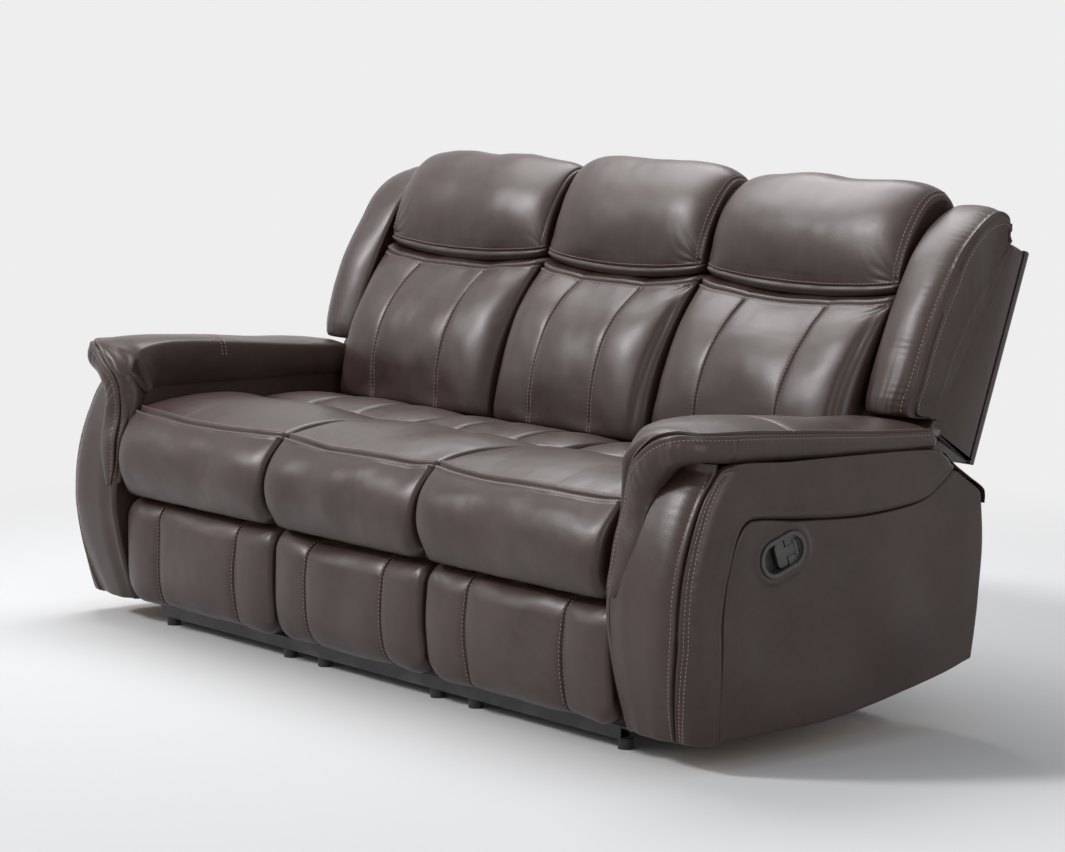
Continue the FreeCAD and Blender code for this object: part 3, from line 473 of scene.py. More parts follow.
@dataclass
class Shape:
    """Vertices and faces on their way to becoming one piece."""

    vertices: list = field(default_factory=list)
    faces: list = field(default_factory=list)

    def add(self, points: Array, faces: list) -> None:
        """Add a closed body, turned so that its faces look outwards."""
        start = sum(len(v) for v in self.vertices)
        triangles = []
        for face in faces:
            for k in range(1, len(face) - 1):
                triangles.append((face[0], face[k], face[k + 1]))
        tri = np.array(triangles)
        a, b, c = points[tri[:, 0]], points[tri[:, 1]], points[tri[:, 2]]
        volume = float(np.sum(a * np.cross(b, c)))
        if volume < 0:
            faces = [tuple(reversed(face)) for face in faces]
        self.vertices.append(points)
        self.faces.extend([tuple(start + i for i in face) for face in faces])

    def ring(self, sheet: Array, back: Array | None = None) -> None:
        """Add a cushion: a sheet whose columns close round back points, with an end face at each end.

        Args:
            sheet: the seen surface, rows by columns.
            back: the points that close each column, rows by columns, if the sheet doesn't close itself.
        """
        grid = sheet if back is None else np.concatenate([sheet, back], axis=0)
        rows, columns = grid.shape[:2]
        faces = []
        for i in range(rows):
            k = (i + 1) % rows
            for j in range(columns - 1):
                faces.append((i * columns + j, i * columns + j + 1, k * columns + j + 1, k * columns + j))
        faces.append(tuple(i * columns for i in range(rows)))
        faces.append(tuple(i * columns + columns - 1 for i in reversed(range(rows))))
        self.add(grid.reshape(-1, 3), faces)

    def slab(self, outer: Array, inner: Array, keep: Array | None = None) -> None:
        """Add a padded cover between an outer and an inner grid.

        Args:
            outer: the seen surface, rows by columns.
            inner: the same grid on the hidden side.
            keep: which grid cells exist, all of them if not given.
        """
        rows, columns = outer.shape[:2]
        keep = np.ones((rows - 1, columns - 1), bool) if keep is None else keep
        grown = np.zeros((rows + 1, columns + 1), bool)
        grown[1:-1, 1:-1] = keep
        points = np.concatenate([outer.reshape(-1, 3), inner.reshape(-1, 3)])
        half = rows * columns
        faces = []
        for i, j in np.argwhere(keep):
            a = i * columns + j
            b = a + 1
            c = a + columns + 1
            d = a + columns
            faces.append((a, b, c, d))
            faces.append((half + d, half + c, half + b, half + a))
            if not grown[i, j + 1]:
                faces.append((b, a, half + a, half + b))
            if not grown[i + 2, j + 1]:
                faces.append((d, c, half + c, half + d))
            if not grown[i + 1, j]:
                faces.append((a, d, half + d, half + a))
            if not grown[i + 1, j + 2]:
                faces.append((c, b, half + b, half + c))
        used = np.zeros(2 * half, bool)
        for face in faces:
            used[list(face)] = True
        number = np.cumsum(used) - 1
        self.add(points[used], [tuple(int(number[i]) for i in face) for face in faces])

    def piece(self, name: str, mirror: bool = False) -> bpy.types.Object:
        """The finished object, with smooth faces and its place in its mesh.

        Args:
            name: the piece's name.
            mirror: turn the piece over to the left-hand side.

        Returns:
            The object.
        """
        points = np.concatenate(self.vertices)
        faces = self.faces
        if mirror:
            points = points * np.array([-1.0, 1.0, 1.0])
            faces = [tuple(reversed(face)) for face in faces]
        mesh = bpy.data.meshes.new(name)
        mesh.from_pydata(metres(points).tolist(), [], faces)
        mesh.validate()
        mesh.shade_smooth()
        mesh.set_sharp_from_angle(angle=SMOOTH_ANGLE)
        return placed(name, mesh)


class Value:
    """A number that varies over a surface, for writing shader maths as Python expressions."""

    def __init__(self, nodes: "NodeBench", socket: bpy.types.NodeSocket) -> None:
        """Wrap an output socket."""
        self.nodes = nodes
        self.socket = socket

    def _maths(self, operation: str, *values: object) -> "Value":
        """Add one Math node."""
        return self.nodes.make("ShaderNodeMath", {"operation": operation}, dict(enumerate(values)))

    def __add__(self, other: object) -> "Value":
        """Sum."""
        return self._maths("ADD", self, other)

    def __sub__(self, other: object) -> "Value":
        """Difference."""
        return self._maths("SUBTRACT", self, other)

    def __rsub__(self, other: object) -> "Value":
        """Difference, from a plain number."""
        return self._maths("SUBTRACT", other, self)

    def __mul__(self, other: object) -> "Value":
        """Product."""
        return self._maths("MULTIPLY", self, other)

    def __pow__(self, other: object) -> "Value":
        """Power."""
        return self._maths("POWER", self, other)

    __radd__ = __add__
    __rmul__ = __mul__

    def between(self, low: float, high: float) -> "Value":
        """0 below low, 1 above high and smooth between them."""
        settings = {"interpolation_type": "SMOOTHSTEP"}
        sockets = {"Value": self, "From Min": low, "From Max": high}
        return self.nodes.make("ShaderNodeMapRange", settings, sockets)


class NodeBench:
    """The nodes of one material, all made by one method."""

    def __init__(self, name: str) -> None:
        """Start a material with only its output."""
        self.material = bpy.data.materials.new(name)
        self.material.use_nodes = True
        self.tree = self.material.node_tree
        self.tree.nodes.clear()
        self.output = self.tree.nodes.new("ShaderNodeOutputMaterial")

    def make(self, kind: str, settings: dict, sockets: dict, output: object = 0) -> Value:
        """Add a node.

        Args:
            kind: the node's type.
            settings: its properties, set before its sockets.
            sockets: values or links of its inputs, by name or number.
            output: which output to return.

        Returns:
            The wrapped output.
        """
        node = self.tree.nodes.new(kind)
        for key, value in settings.items():
            setattr(node, key, value)
        for key, value in sockets.items():
            if isinstance(value, Value):
                self.tree.links.new(value.socket, node.inputs[key])
            elif value is not None:
                node.inputs[key].default_value = value
        return Value(self, node.outputs[output])

    def mixed(self, factor: Value, first: object, second: object) -> Value:
        """A colour between two others."""
        node = self.make("ShaderNodeMix", {"data_type": "RGBA"}, {0: factor}, 2)
        for key, value in ((6, first), (7, second)):
            if isinstance(value, Value):
                self.tree.links.new(value.socket, node.socket.node.inputs[key])
            else:
                node.socket.node.inputs[key].default_value = value
        return node

    def places(self, scale: tuple = (1.0, 1.0, 1.0)) -> Value:
        """Object coordinates, stretched by a scale."""
        at = self.make("ShaderNodeTexCoord", {}, {}, "Object")
        return self.make("ShaderNodeMapping", {}, {"Vector": at, "Scale": scale})

    def noise(self, at: Value, scale: float, detail: float = 3.0, distortion: float = 0.0) -> Value:
        """Cloudy noise from 0 to 1."""
        sockets = {"Vector": at, "Scale": scale, "Detail": detail, "Distortion": distortion}
        return self.make("ShaderNodeTexNoise", {}, sockets, "Fac")

    def cells(self, at: Value, scale: float, feature: str = "F1") -> Value:
        """Distance in a pattern of cells."""
        sockets = {"Vector": at, "Scale": scale}
        return self.make("ShaderNodeTexVoronoi", {"feature": feature}, sockets, "Distance")

    def bump(
        self, height: Value, distance: float, strength: float = 1.0, under: Value | None = None,
    ) -> Value:
        """A normal shaped by a height."""
        sockets = {"Height": height, "Distance": distance, "Strength": strength, "Normal": under}
        return self.make("ShaderNodeBump", {}, sockets)

    def finish(self, **sockets: object) -> bpy.types.Material:
        """Close the material with one shader, whose inputs are given by name."""
        named = {key.replace("_", " "): value for key, value in sockets.items()}
        shader = self.make("ShaderNodeBsdfPrincipled", {}, named)
        self.tree.links.new(shader.socket, self.output.inputs["Surface"])
        return self.material


@dataclass(frozen=True)
class Leather:
    """Bonded leather: dark brown, fine pores, a soft polish and a tone that varies at random."""

    name: str = "brown_leather"
    deep: tuple = (0.031, 0.0175, 0.0152, 1.0)
    worn: tuple = (0.045, 0.0275, 0.0245, 1.0)
    roughness: float = 0.36

    def material(self) -> bpy.types.Material:
        """The leather's material."""
        bench = NodeBench(self.name)
        at = bench.places()
        cloud = bench.noise(at, 3.2, 4.0, 0.4)
        mottle = bench.noise(at, 38.0, 4.0, 0.2)
        tone = (cloud * 0.65 + mottle * 0.35).between(0.34, 0.66)
        pores = bench.cells(at, 620.0)
        creases = bench.cells(at, 210.0, "DISTANCE_TO_EDGE")
        drape = bench.noise(at, 16.0, 3.0, 0.6)
        colour = bench.mixed(tone, self.deep, self.worn)
        grain = bench.bump(pores * 0.6 + creases.between(0.0, 0.16) * 0.5, 0.00022, 0.55)
        normal = bench.bump(drape, 0.0007, 0.35, grain)
        rough = self.roughness + (mottle - 0.5) * 0.10 + (cloud - 0.5) * 0.12
        return bench.finish(
            Base_Color=colour, Roughness=rough, Normal=normal, IOR=1.40,
            Coat_Weight=0.10, Coat_Roughness=0.34,
        )


@dataclass(frozen=True)
class Yarn:
    """Twisted polyester sewing thread, with painted shade in the grooves between its plies."""

    name: str = "sewing_thread"
    pale: tuple = (0.40, 0.27, 0.25, 1.0)
    dark: tuple = (0.27, 0.18, 0.165, 1.0)

    def material(self) -> bpy.types.Material:
        """The thread's material."""
        bench = NodeBench(self.name)
        at = bench.places()
        settings = {"bands_direction": "DIAGONAL"}
        ply = bench.make("ShaderNodeTexWave", settings, {"Vector": at, "Scale": 900.0}, "Fac")
        # The thread is paler on its raised plies and darker in the grooves between them, which is painted
        # shade; the noise adds a random tone on top
        colour = bench.mixed(ply * 0.6 + bench.noise(at, 60.0) * 0.4, self.dark, self.pale)
        return bench.finish(Base_Color=colour, Roughness=0.62, Normal=bench.bump(ply, 0.00012))


@dataclass(frozen=True)
class Steel:
    """A steel part with a coat or a plating, scuffed in places."""

    name: str
    colour: tuple
    scuffed: tuple
    metallic: float
    roughness: float
    grain: float = 0.00008

    def material(self) -> bpy.types.Material:
        """The steel's material."""
        bench = NodeBench(self.name)
        at = bench.places()
        speck = bench.noise(at, 420.0, 3.0)
        patch = bench.noise(at, 14.0, 5.0, 0.8)
        colour = bench.mixed((patch * 0.7 + speck * 0.3).between(0.42, 0.68), self.colour, self.scuffed)
        rough = self.roughness + (patch - 0.5) * 0.16 + (speck - 0.5) * 0.06
        normal = bench.bump(speck, self.grain)
        return bench.finish(Base_Color=colour, Metallic=self.metallic, Roughness=rough, Normal=normal)


@dataclass(frozen=True)
class Wood:
    """Raw timber or plywood with grain along one axis."""

    name: str
    pale: tuple
    dark: tuple
    stretch: tuple
    plies: float = 0.0

    def material(self) -> bpy.types.Material:
        """The wood's material."""
        bench = NodeBench(self.name)
        at = bench.places(self.stretch)
        rings = bench.make(
            "ShaderNodeTexWave", {"bands_direction": "Z"},
            {"Vector": at, "Scale": 9.0 + self.plies, "Distortion": 5.0, "Detail": 3.0}, "Fac",
        )
        fibre = bench.noise(bench.places(tuple(12 * s for s in self.stretch)), 30.0, 5.0)
        colour = bench.mixed((rings * 0.55 + fibre * 0.45).between(0.3, 0.75), self.pale, self.dark)
        rough = 0.62 + (fibre - 0.5) * 0.2
        return bench.finish(Base_Color=colour, Roughness=rough, Normal=bench.bump(fibre, 0.0003))


@dataclass(frozen=True)
class Plastic:
    """Moulded plastic with a fine spark-eroded texture."""

    name: str
    colour: tuple
    rubbed: tuple
    roughness: float

    def material(self) -> bpy.types.Material:
        """The plastic's material."""
        bench = NodeBench(self.name)
        at = bench.places()
        spark = bench.noise(at, 900.0, 2.0)
        rub = bench.noise(at, 45.0, 4.0, 0.5)
        colour = bench.mixed(rub.between(0.45, 0.75), self.colour, self.rubbed)
        rough = self.roughness + (rub - 0.5) * 0.14
        return bench.finish(Base_Color=colour, Roughness=rough, Normal=bench.bump(spark, 0.00012, 0.6))


class Finish(Enum):
    """The finishes of the record's material slots."""

    BROWN_LEATHER = Leather()
    TIMBER = Wood("timber", (0.50, 0.36, 0.21, 1), (0.36, 0.23, 0.12, 1), (1.0, 0.35, 1.0))
    PLYWOOD = Wood("plywood", (0.46, 0.33, 0.20, 1), (0.32, 0.21, 0.12, 1), (0.3, 1.0, 1.0), 40.0)
    FRAME_STEEL = Steel("frame_steel", (0.018, 0.018, 0.019, 1), (0.05, 0.05, 0.052, 1), 0.0, 0.42)
    LINKAGE_STEEL = Steel("linkage_steel", (0.05, 0.05, 0.053, 1), (0.11, 0.11, 0.115, 1), 0.6, 0.45)
    BRIGHT_STEEL = Steel("bright_steel", (0.62, 0.62, 0.60, 1), (0.48, 0.47, 0.44, 1), 1.0, 0.32)
    SPRING_STEEL = Steel("spring_steel", (0.20, 0.20, 0.21, 1), (0.30, 0.29, 0.28, 1), 0.9, 0.42)
    BLACK_PLASTIC = Plastic("black_plastic", (0.012, 0.012, 0.013, 1), (0.03, 0.03, 0.032, 1), 0.5)
    LATCH_PLASTIC = Plastic("latch_plastic", (0.043, 0.041, 0.039, 1), (0.062, 0.059, 0.056, 1), 0.40)
    YARN = Yarn()


class Workshop:
    """Holds the finishes and the sewing rows while pieces are dressed."""

    def __init__(self) -> None:
        """Make every material once."""
        self.materials = {finish: finish.value.material() for finish in Finish}
        self.rows = {}

    def dress(self, piece: bpy.types.Object, body: str, nodes: tuple, fill: float | None = None) -> None:
        """Give a leather piece its material, body, slot and CAD nodes.

        Args:
            piece: the object.
            body: the CAD body that it rides on.
            nodes: the CAD nodes that it stands for.
            fill: how full its padding is, if it is padded; not used.
        """
        piece.data.materials.append(self.materials[Finish.BROWN_LEATHER])
        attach(piece, body)
        if nodes:
            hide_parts(*nodes)
        LOG.info("%s: %d faces on %s", piece.name, len(piece.data.polygons), body)

    def sew(self, body: str, line: tuple[Array, Array], mirror: bool = False) -> None:
        """Keep a row of stitches for later.

        Args:
            body: the CAD body that the row rides on.
            line: points and normals of the row.
            mirror: whether the row belongs to a piece that is turned over to the left.
        """
        points, normals = line
        flip = np.array([-1.0 if mirror else 1.0, 1.0, 1.0])
        self.rows.setdefault(body, []).append((points * flip, normals * flip))


class Stitching:
    """A Geometry Nodes tree that lays thread stitches along sewing rows."""

    def __init__(self, thread: bpy.types.Material) -> None:
        """Build the tree once."""
        self.tree = bpy.data.node_groups.new("stitch_rows", "GeometryNodeTree")
        face = self.tree.interface
        face.new_socket("Geometry", in_out="INPUT", socket_type="NodeSocketGeometry")
        self.inputs = {}
        for name in ("Pitch", "Length", "Width"):
            made = face.new_socket(name, in_out="INPUT", socket_type="NodeSocketFloat")
            self.inputs[name] = made.identifier
        face.new_socket("Geometry", in_out="OUTPUT", socket_type="NodeSocketGeometry")
        self._wire(thread)

    def _node(self, kind: str, links: dict, settings: dict | None = None) -> bpy.types.Node:
        """Add a node, set it, and link or set its inputs."""
        node = self.tree.nodes.new(kind)
        for key, value in (settings or {}).items():
            setattr(node, key, value)
        for key, value in links.items():
            if isinstance(value, bpy.types.NodeSocket):
                self.tree.links.new(value, node.inputs[key])
            else:
                node.inputs[key].default_value = value
        return node

    def _wire(self, thread: bpy.types.Material) -> None:
        """Lay out the tree: rows, spaced points, turned stitches, one real mesh."""
        start = self.tree.nodes.new("NodeGroupInput")
        up = self._node("GeometryNodeInputNamedAttribute", {"Name": "up"}, {"data_type": "FLOAT_VECTOR"})
        curve = self._node("GeometryNodeMeshToCurve", {"Mesh": start.outputs["Geometry"]})
        spaced = self._node(
            "GeometryNodeResampleCurve", {"Curve": curve.outputs[0], "Length": start.outputs["Pitch"]},
            {"mode": "LENGTH"},
        )
        tangent = self._node("GeometryNodeInputTangent", {})
        first = self._node("FunctionNodeAlignRotationToVector", {"Vector": tangent.outputs[0]}, {"axis": "X"})
        second = self._node(
            "FunctionNodeAlignRotationToVector", {"Rotation": first.outputs[0], "Vector": up.outputs[0]},
            {"axis": "Z", "pivot_axis": "X"},
        )
        ball = self._node("GeometryNodeMeshUVSphere", {"Segments": 6, "Rings": 4, "Radius": 0.5})
        size = self._node(
            "ShaderNodeCombineXYZ",
            {"X": start.outputs["Length"], "Y": start.outputs["Width"], "Z": start.outputs["Width"]},
        )
        stitches = self._node("GeometryNodeInstanceOnPoints", {
            "Points": spaced.outputs[0], "Instance": ball.outputs[0],
            "Rotation": second.outputs[0], "Scale": size.outputs[0],
        })
        real = self._node("GeometryNodeRealizeInstances", {"Geometry": stitches.outputs[0]})
        smooth = self._node("GeometryNodeSetShadeSmooth", {"Geometry": real.outputs[0]})
        dressed = self._node("GeometryNodeSetMaterial", {"Geometry": smooth.outputs[0], "Material": thread})
        end = self.tree.nodes.new("NodeGroupOutput")
        self.tree.links.new(dressed.outputs[0], end.inputs[0])

    def lay(self, name: str, rows: list, pitch: float, length: float, width: float) -> bpy.types.Object:
        """One mesh of stitches.

        Args:
            name: the piece's name.
            rows: points and normals of each row, in millimetres.
            pitch: distance from stitch to stitch, in metres.
            length: a stitch's length, in metres.
            width: the thread's thickness, in metres.

        Returns:
            The object, a plain mesh.
        """
        points = np.concatenate([metres(row[0]) for row in rows])
        normals = np.concatenate([row[1] for row in rows])
        edges = []
        start = 0
        for row in rows:
            count = len(row[0])
            edges += [(start + i, start + i + 1) for i in range(count - 1)]
            start += count
        mesh = bpy.data.meshes.new(name + "_rows")
        mesh.from_pydata(points.tolist(), edges, [])
        mesh.attributes.new("up", "FLOAT_VECTOR", "POINT").data.foreach_set("vector", normals.ravel())
        holder = placed(name + "_rows", mesh)
        modifier = holder.modifiers.new("stitches", "NODES")
        modifier.node_group = self.tree
        for key, value in (("Pitch", pitch), ("Length", length), ("Width", width)):
            modifier[self.inputs[key]] = value
        bpy.context.view_layer.update()
        graph = bpy.context.evaluated_depsgraph_get()
        real = bpy.data.meshes.new_from_object(holder.evaluated_get(graph))
        real.name = name
        bpy.data.objects.remove(holder)
        bpy.data.meshes.remove(mesh)
        return placed(name, real)


@dataclass
class Unit:
    """One seat's place: its middle and half width, its bodies and its node names."""

    name: str
    centre: float
    half: float
    seed: int
    mirror: bool = False

    def body(self, part: str) -> str:
        """The body of a moving part, which is the root on the fixed middle seat."""
        return "root" if self.name == "middle" else f"{self.name}_{part}"


@dataclass
class Cushion:
    """A cushion that is crowned between its ends, sewn into channels and rolled at its edges."""

    unit: Unit
    shop: Workshop
    part: str = ""
    moves_with: str = ""
    edge: Outline | None = None
    crown: Outline | None = None
    knots: tuple = (0, 1)
    seams: tuple = ()
    roll: float = 16.0
    soften: float = 9.0
    spread: float = 26.0
    fill: float = 0.8

    def columns(self) -> Array:
        """Places across the cushion, from its left end to its right one."""
        width = 2 * self.unit.half
        marks = [self.unit.half + seam for seam in self.seams]
        return graded(width, marks, 5.0, 1.6, 10.0) - self.unit.half

    def share(self, x: Array) -> Array:
        """How far the cushion has risen from its edge outline to its crown."""
        return 1.0 - np.exp(-(self.unit.half - np.abs(x)) / self.spread)

    def paths(self) -> tuple[Path, Path]:
        """The seen part of the edge and crown outlines."""
        first, last = self.knots
        return tuple(Path.along(outline, first, last, self.soften) for outline in (self.edge, self.crown))

    def sheet(self, rows: Array, shift: Array | float = 0.0) -> tuple[Sheet, Array, Array]:
        """The cushion's surface before it is shaped.

        Args:
            rows: lengths along the crown outline.
            shift: how far each grid point slides along its outline.

        Returns:
            The sheet, and the x and the length at each of its points.
        """
        edge, crown = self.paths()
        x = self.columns()
        run, across = np.meshgrid(rows, x, indexing="ij")
        marks = crown.mark(run + shift)
        share = self.share(across)[..., None]
        flat = edge.at(marks) * (1 - share) + crown.at(marks) * share
        points = np.concatenate([(across + self.unit.centre)[..., None], flat], axis=2)
        core = np.array([self.unit.centre, *self.core()])
        return Sheet(points, rows, x, core), across, run

    def fill_cloth(self, sheet: Sheet, seams: list, cap: float = 12.0) -> None:
        """Let the cover swell over its filling between its seams."""
        sheet.points = sheet.points + ClothFill(cap=cap).swollen(sheet, seams)

    def core(self) -> tuple[float, float]:
        """A (y, z) place inside the cushion, which its normals point away from."""
        knots = np.array(self.crown.knots)
        return tuple(knots.mean(axis=0))

    def back(self, x: Array) -> Array:
        """The hidden points that close the cushion."""
        first, last = self.knots
        count = len(self.crown.knots)
        rest = [self.crown.knots[i % count] for i in range(last + 1, first + count)]
        at = x + self.unit.centre
        rows = [np.column_stack([at, np.full_like(x, y), np.full_like(x, z)]) for y, z in rest]
        return np.array(rows).reshape(len(rows), len(x), 3)

    def finish(self, sheet: Sheet) -> None:
        """Close the cushion and dress it."""
        shape = Shape()
        shape.ring(sheet.points, self.back(sheet.across))
        name = f"{self.unit.name}_{self.part}"
        piece = shape.piece("Leather_" + name, self.unit.mirror)
        self.shop.dress(piece, self.unit.body(self.moves_with), (name,), self.fill)

    def sew(self, sheet: Sheet, along: Array, across: Array) -> None:
        """Sew a row on the cushion's surface."""
        line = sheet.trace(along, across, THREAD_LIFT)
        self.shop.sew(self.unit.body(self.moves_with), line, self.unit.mirror)

    def sew_across(self, sheet: Sheet, place: float) -> None:
        """Sew a row from end to end at a length along the cushion."""
        inside = sheet.across[np.abs(sheet.across) < self.unit.half - 12]
        self.sew(sheet, np.full_like(inside, place), inside)

    def sew_channels(self, sheet: Sheet, length: Array, offset: float) -> None:
        """Sew a row on both sides of every upright seam."""
        for seam in self.seams:
            for side in (-offset, offset):
                self.sew(sheet, length, np.full_like(length, seam + side))


@dataclass
class SeatCushion(Cushion):
    """A seat: a rolled nose, a front pillow and a rear row of three sewn pillows."""

    part: str = "seat_cushion"
    moves_with: str = "seat"
    edge: Outline = Outline(
        ((-388, 245), (-438, 245), (-402, 428), (-88, 422), (140, 408), (150, 275.5), (-388, 275.5)),
        (0, 32, 12, 6, 3, 0, 0),
    )
    crown: Outline = Outline(
        ((-388, 245), (-441, 240), (-408, 425), (-98, 427), (128, 411), (150, 275.5), (-388, 275.5)),
        (0, 44, 24, 18, 5, 0, 0),
    )
    knots: tuple = (0, 5)
    seams: tuple = (-96.0, 96.0)
    sag: float = 12.0
    leaf: float = 20.0

    def build(self) -> None:
        """Make the seat."""
        crown = self.paths()[1]
        bottom, front, pillow, rear = (crown.place(mark) for mark in (1, 2, 3, 4))
        rows = graded(crown.length, [bottom, front, pillow], 6.0, 1.5, 12.0)
        x = self.columns()
        half = self.unit.half
        run, across = np.meshgrid(rows, x, indexing="ij")
        dip = self.sag * (1 - (across / half) ** 2)
        aside = np.abs(across)
        seam = self.seams[1]
        third = np.where(aside < seam, aside / seam, np.abs(aside - (seam + half) / 2) / ((half - seam) / 2))
        leaf = self.leaf * (1 - np.clip(third, 0, 1) ** 2)
        shift = -dip * ridge(run - front, 70) - leaf * ridge(run - pillow, 60)
        sheet, across, run = self.sheet(rows, shift)
        seed = self.unit.seed
        self.fill_cloth(sheet, [
            lambda a, b: a - front, lambda a, b: a - pillow, lambda a, b: a - bottom,
            lambda a, b: np.where(a > pillow, np.abs(b) - seam, seam),
        ], 8.0)
        rise = smoothstep((run - pillow) / 40) * smoothstep((rear + 30 - run) / 40)
        near = np.abs(np.abs(across) - seam)
        broad = 4.0 * rise * (1 - np.exp(-near / 26)) - 3.0 * rise
        broad += 1.6 * Ripple(seed, 230).at(across, run) * smoothstep((run - bottom) / 60)
        sheet.push(broad)
        end = half - np.abs(across)
        radius = self.roll + 22 * ridge(run - bottom - 20, 55) + 6 * ridge(run - pillow, 40)
        fine = -turned_edge(end, radius) - 5.5 * ridge(run - front, 3.6)
        fine += 2.4 * ridge(np.abs(run - front) - 8.5, 4.5)
        fine -= 10.0 * ridge(run - pillow, 10.0) + 5.0 * ridge(run - pillow, 2.8)
        fine -= rise * (5.0 * ridge(near, 8.0) + 4.0 * ridge(near, 2.6))
        below = smoothstep((front - run) / 6) * np.exp(-np.clip(front - run, 0, None) / 30)
        fine -= 0.9 * puckers(across, 15.0, seed + 3) * below * (0.15 + 0.85 * (across / half) ** 4)
        above = smoothstep((run - front) / 6) * np.exp(-np.clip(run - front, 0, None) / 26)
        fine -= 0.3 * puckers(across, 19.0, seed + 5) * above
        fine += 0.14 * Ripple(seed + 7, 60).at(across, run)
        sheet.push(fine)
        self.finish(sheet)
        for offset in (-9.5, 9.5):
            self.sew_across(sheet, front + offset)


@dataclass
class FootrestPad(Cushion):
    """A padded front panel with two upright seams that roll over its top edge."""

    part: str = "footrest_pad"
    moves_with: str = "footrest"
    edge: Outline = Outline(
        ((-345.5, 14), (-392, 13), (-424, 36), (-430, 190), (-400, 236), (-345.5, 231)), (0, 9, 3, 10, 0, 0)
    )
    crown: Outline = Outline(
        ((-345.5, 12), (-398, 9), (-431, 34), (-436, 184), (-404, 236), (-345.5, 230)), (0, 10, 8, 12, 0, 0)
    )
    knots: tuple = (0, 5)
    seams: tuple = (-145.0, 145.0)
    roll: float = 15.0
    spread: float = 30.0
    corner: float = 52.0

    def build(self) -> None:
        """Make the pad."""
        if self.unit.name == "middle":
            self.part = "front_pad"
            self.seams = (-128.0, 128.0)
        crown = self.paths()[1]
        low, top = crown.place(1), crown.place(4)
        rows = graded(crown.length, [crown.place(1.5)], 5.0, 2.0, 10.0)
        sheet, across, run = self.sheet(rows)
        half = self.unit.half
        end = half - np.abs(across)
        lift = turned_edge(end, self.corner)
        height = sheet.points[..., 2]
        sheet.points[..., 2] = height + lift * np.clip(1 - height / 130, 0, 1) ** 1.3
        self.fill_cloth(sheet, [lambda a, b: a - low, lambda a, b: np.abs(b) - self.seams[1]], 6.0)
        near = np.abs(np.abs(across) - self.seams[1])
        seed = self.unit.seed
        live = smoothstep((run - low + 10) / 30)
        broad = live * (5.0 * (1 - np.exp(-near / 24)) - 4.0)
        broad += 1.3 * Ripple(seed + 11, 190).at(across, run) * live
        sheet.push(broad)
        fine = -turned_edge(end, self.roll + 8 * ridge(run - top, 40))
        fine = fine - live * (3.2 * ridge(near, 7.0) + 3.6 * ridge(near, 2.2))
        fine += 1.1 * live * ridge(near - 6.0, 3.0)
        corner = np.hypot(end, (run - top) * 0.8)
        angle = np.arctan2(run - top, end + 1)
        fine += 0.9 * np.sin(angle * 13 + seed) * np.exp(-corner / 30) * smoothstep(end / 14)
        fine += 0.12 * Ripple(seed + 13, 55).at(across, run) * live
        sheet.push(fine)
        self.finish(sheet)
        self.sew_channels(sheet, np.arange(low + 4, crown.length - 22, 3.0), 5.2)


@dataclass
class LumbarCushion(Cushion):
    """The lower back cushion, in three upright channels under a sagging seam."""

    part: str = "lumbar_cushion"
    moves_with: str = "back"
    edge: Outline = Outline(
        (on_back(419.4, BACK_FRONT), (137, 420), (267, 760), on_back(782.5, BACK_FRONT)), (0, 10, 0, 0)
    )
    crown: Outline = Outline(
        (on_back(419.4, BACK_FRONT), (100, 424), (259, 750), on_back(782.5, BACK_FRONT)), (0, 46, 0, 0)
    )
    knots: tuple = (0, 3)
    seams: tuple = (-116.0, 116.0)
    roll: float = 17.0
    sag: float = 17.0

    def build(self) -> None:
        """Make the cushion."""
        if self.unit.name == "middle":
            self.seams = (-98.0, 98.0)
        crown = self.paths()[1]
        low, top = crown.place(1), crown.place(2)
        rows = graded(crown.length, [top - 12], 5.0, 1.5, 18.0)
        sheet, across, run = self.sheet(rows)
        half = self.unit.half
        end = half - np.abs(across)
        lower(sheet, self.sag * (1 - (across / half) ** 2) * smoothstep((run - top + 130) / 130))
        self.fill_cloth(sheet, [lambda a, b: a - low, lambda a, b: a - top], 13.0)
        near = np.abs(np.abs(across) - self.seams[1])
        seed = self.unit.seed
        live = smoothstep((run - low + 10) / 40)
        broad = live * (3.4 * (1 - np.exp(-near / 30)) - 2.4)
        broad += 1.5 * Ripple(seed + 21, 210).at(across, run) * live
        sheet.push(broad)
        fine = -turned_edge(end, self.roll)
        channel = live * smoothstep((top - 18 - run) / 10)
        fine = fine - channel * (1.8 * ridge(near, 8.0) + 2.6 * ridge(near, 2.0))
        below = run - top
        fine += 2.4 * ridge(below + 8, 5.2) - 3.4 * ridge(below + 16, 2.4) + 1.2 * ridge(below + 22, 4.5)
        under = np.exp(-np.clip(top - 24 - run, 0, None) / 26) * smoothstep((top - 20 - run) / 8)
        fine -= 0.45 * puckers(across, 17.0, seed + 23) * under
        fine -= folds(end - 8, top - 20 - run, (0.45, 0.85, 1.2), 4.0, 46.0) * (across > 0)
        fold = 26 - 5 * np.sin((top - run) / 90 + seed)
        reach = smoothstep((run - low) / 60) * smoothstep((top - 40 - run) / 80)
        fine -= 4.5 * ridge(end - fold, 6.0) * (across > 0) * reach
        fine += 0.14 * Ripple(seed + 25, 60).at(across, run) * live
        sheet.push(fine)
        self.finish(sheet)
        self.sew_channels(sheet, np.arange(low + 6, top - 24, 3.0), 5.0)
        self.sew_across(sheet, top - 23.0)


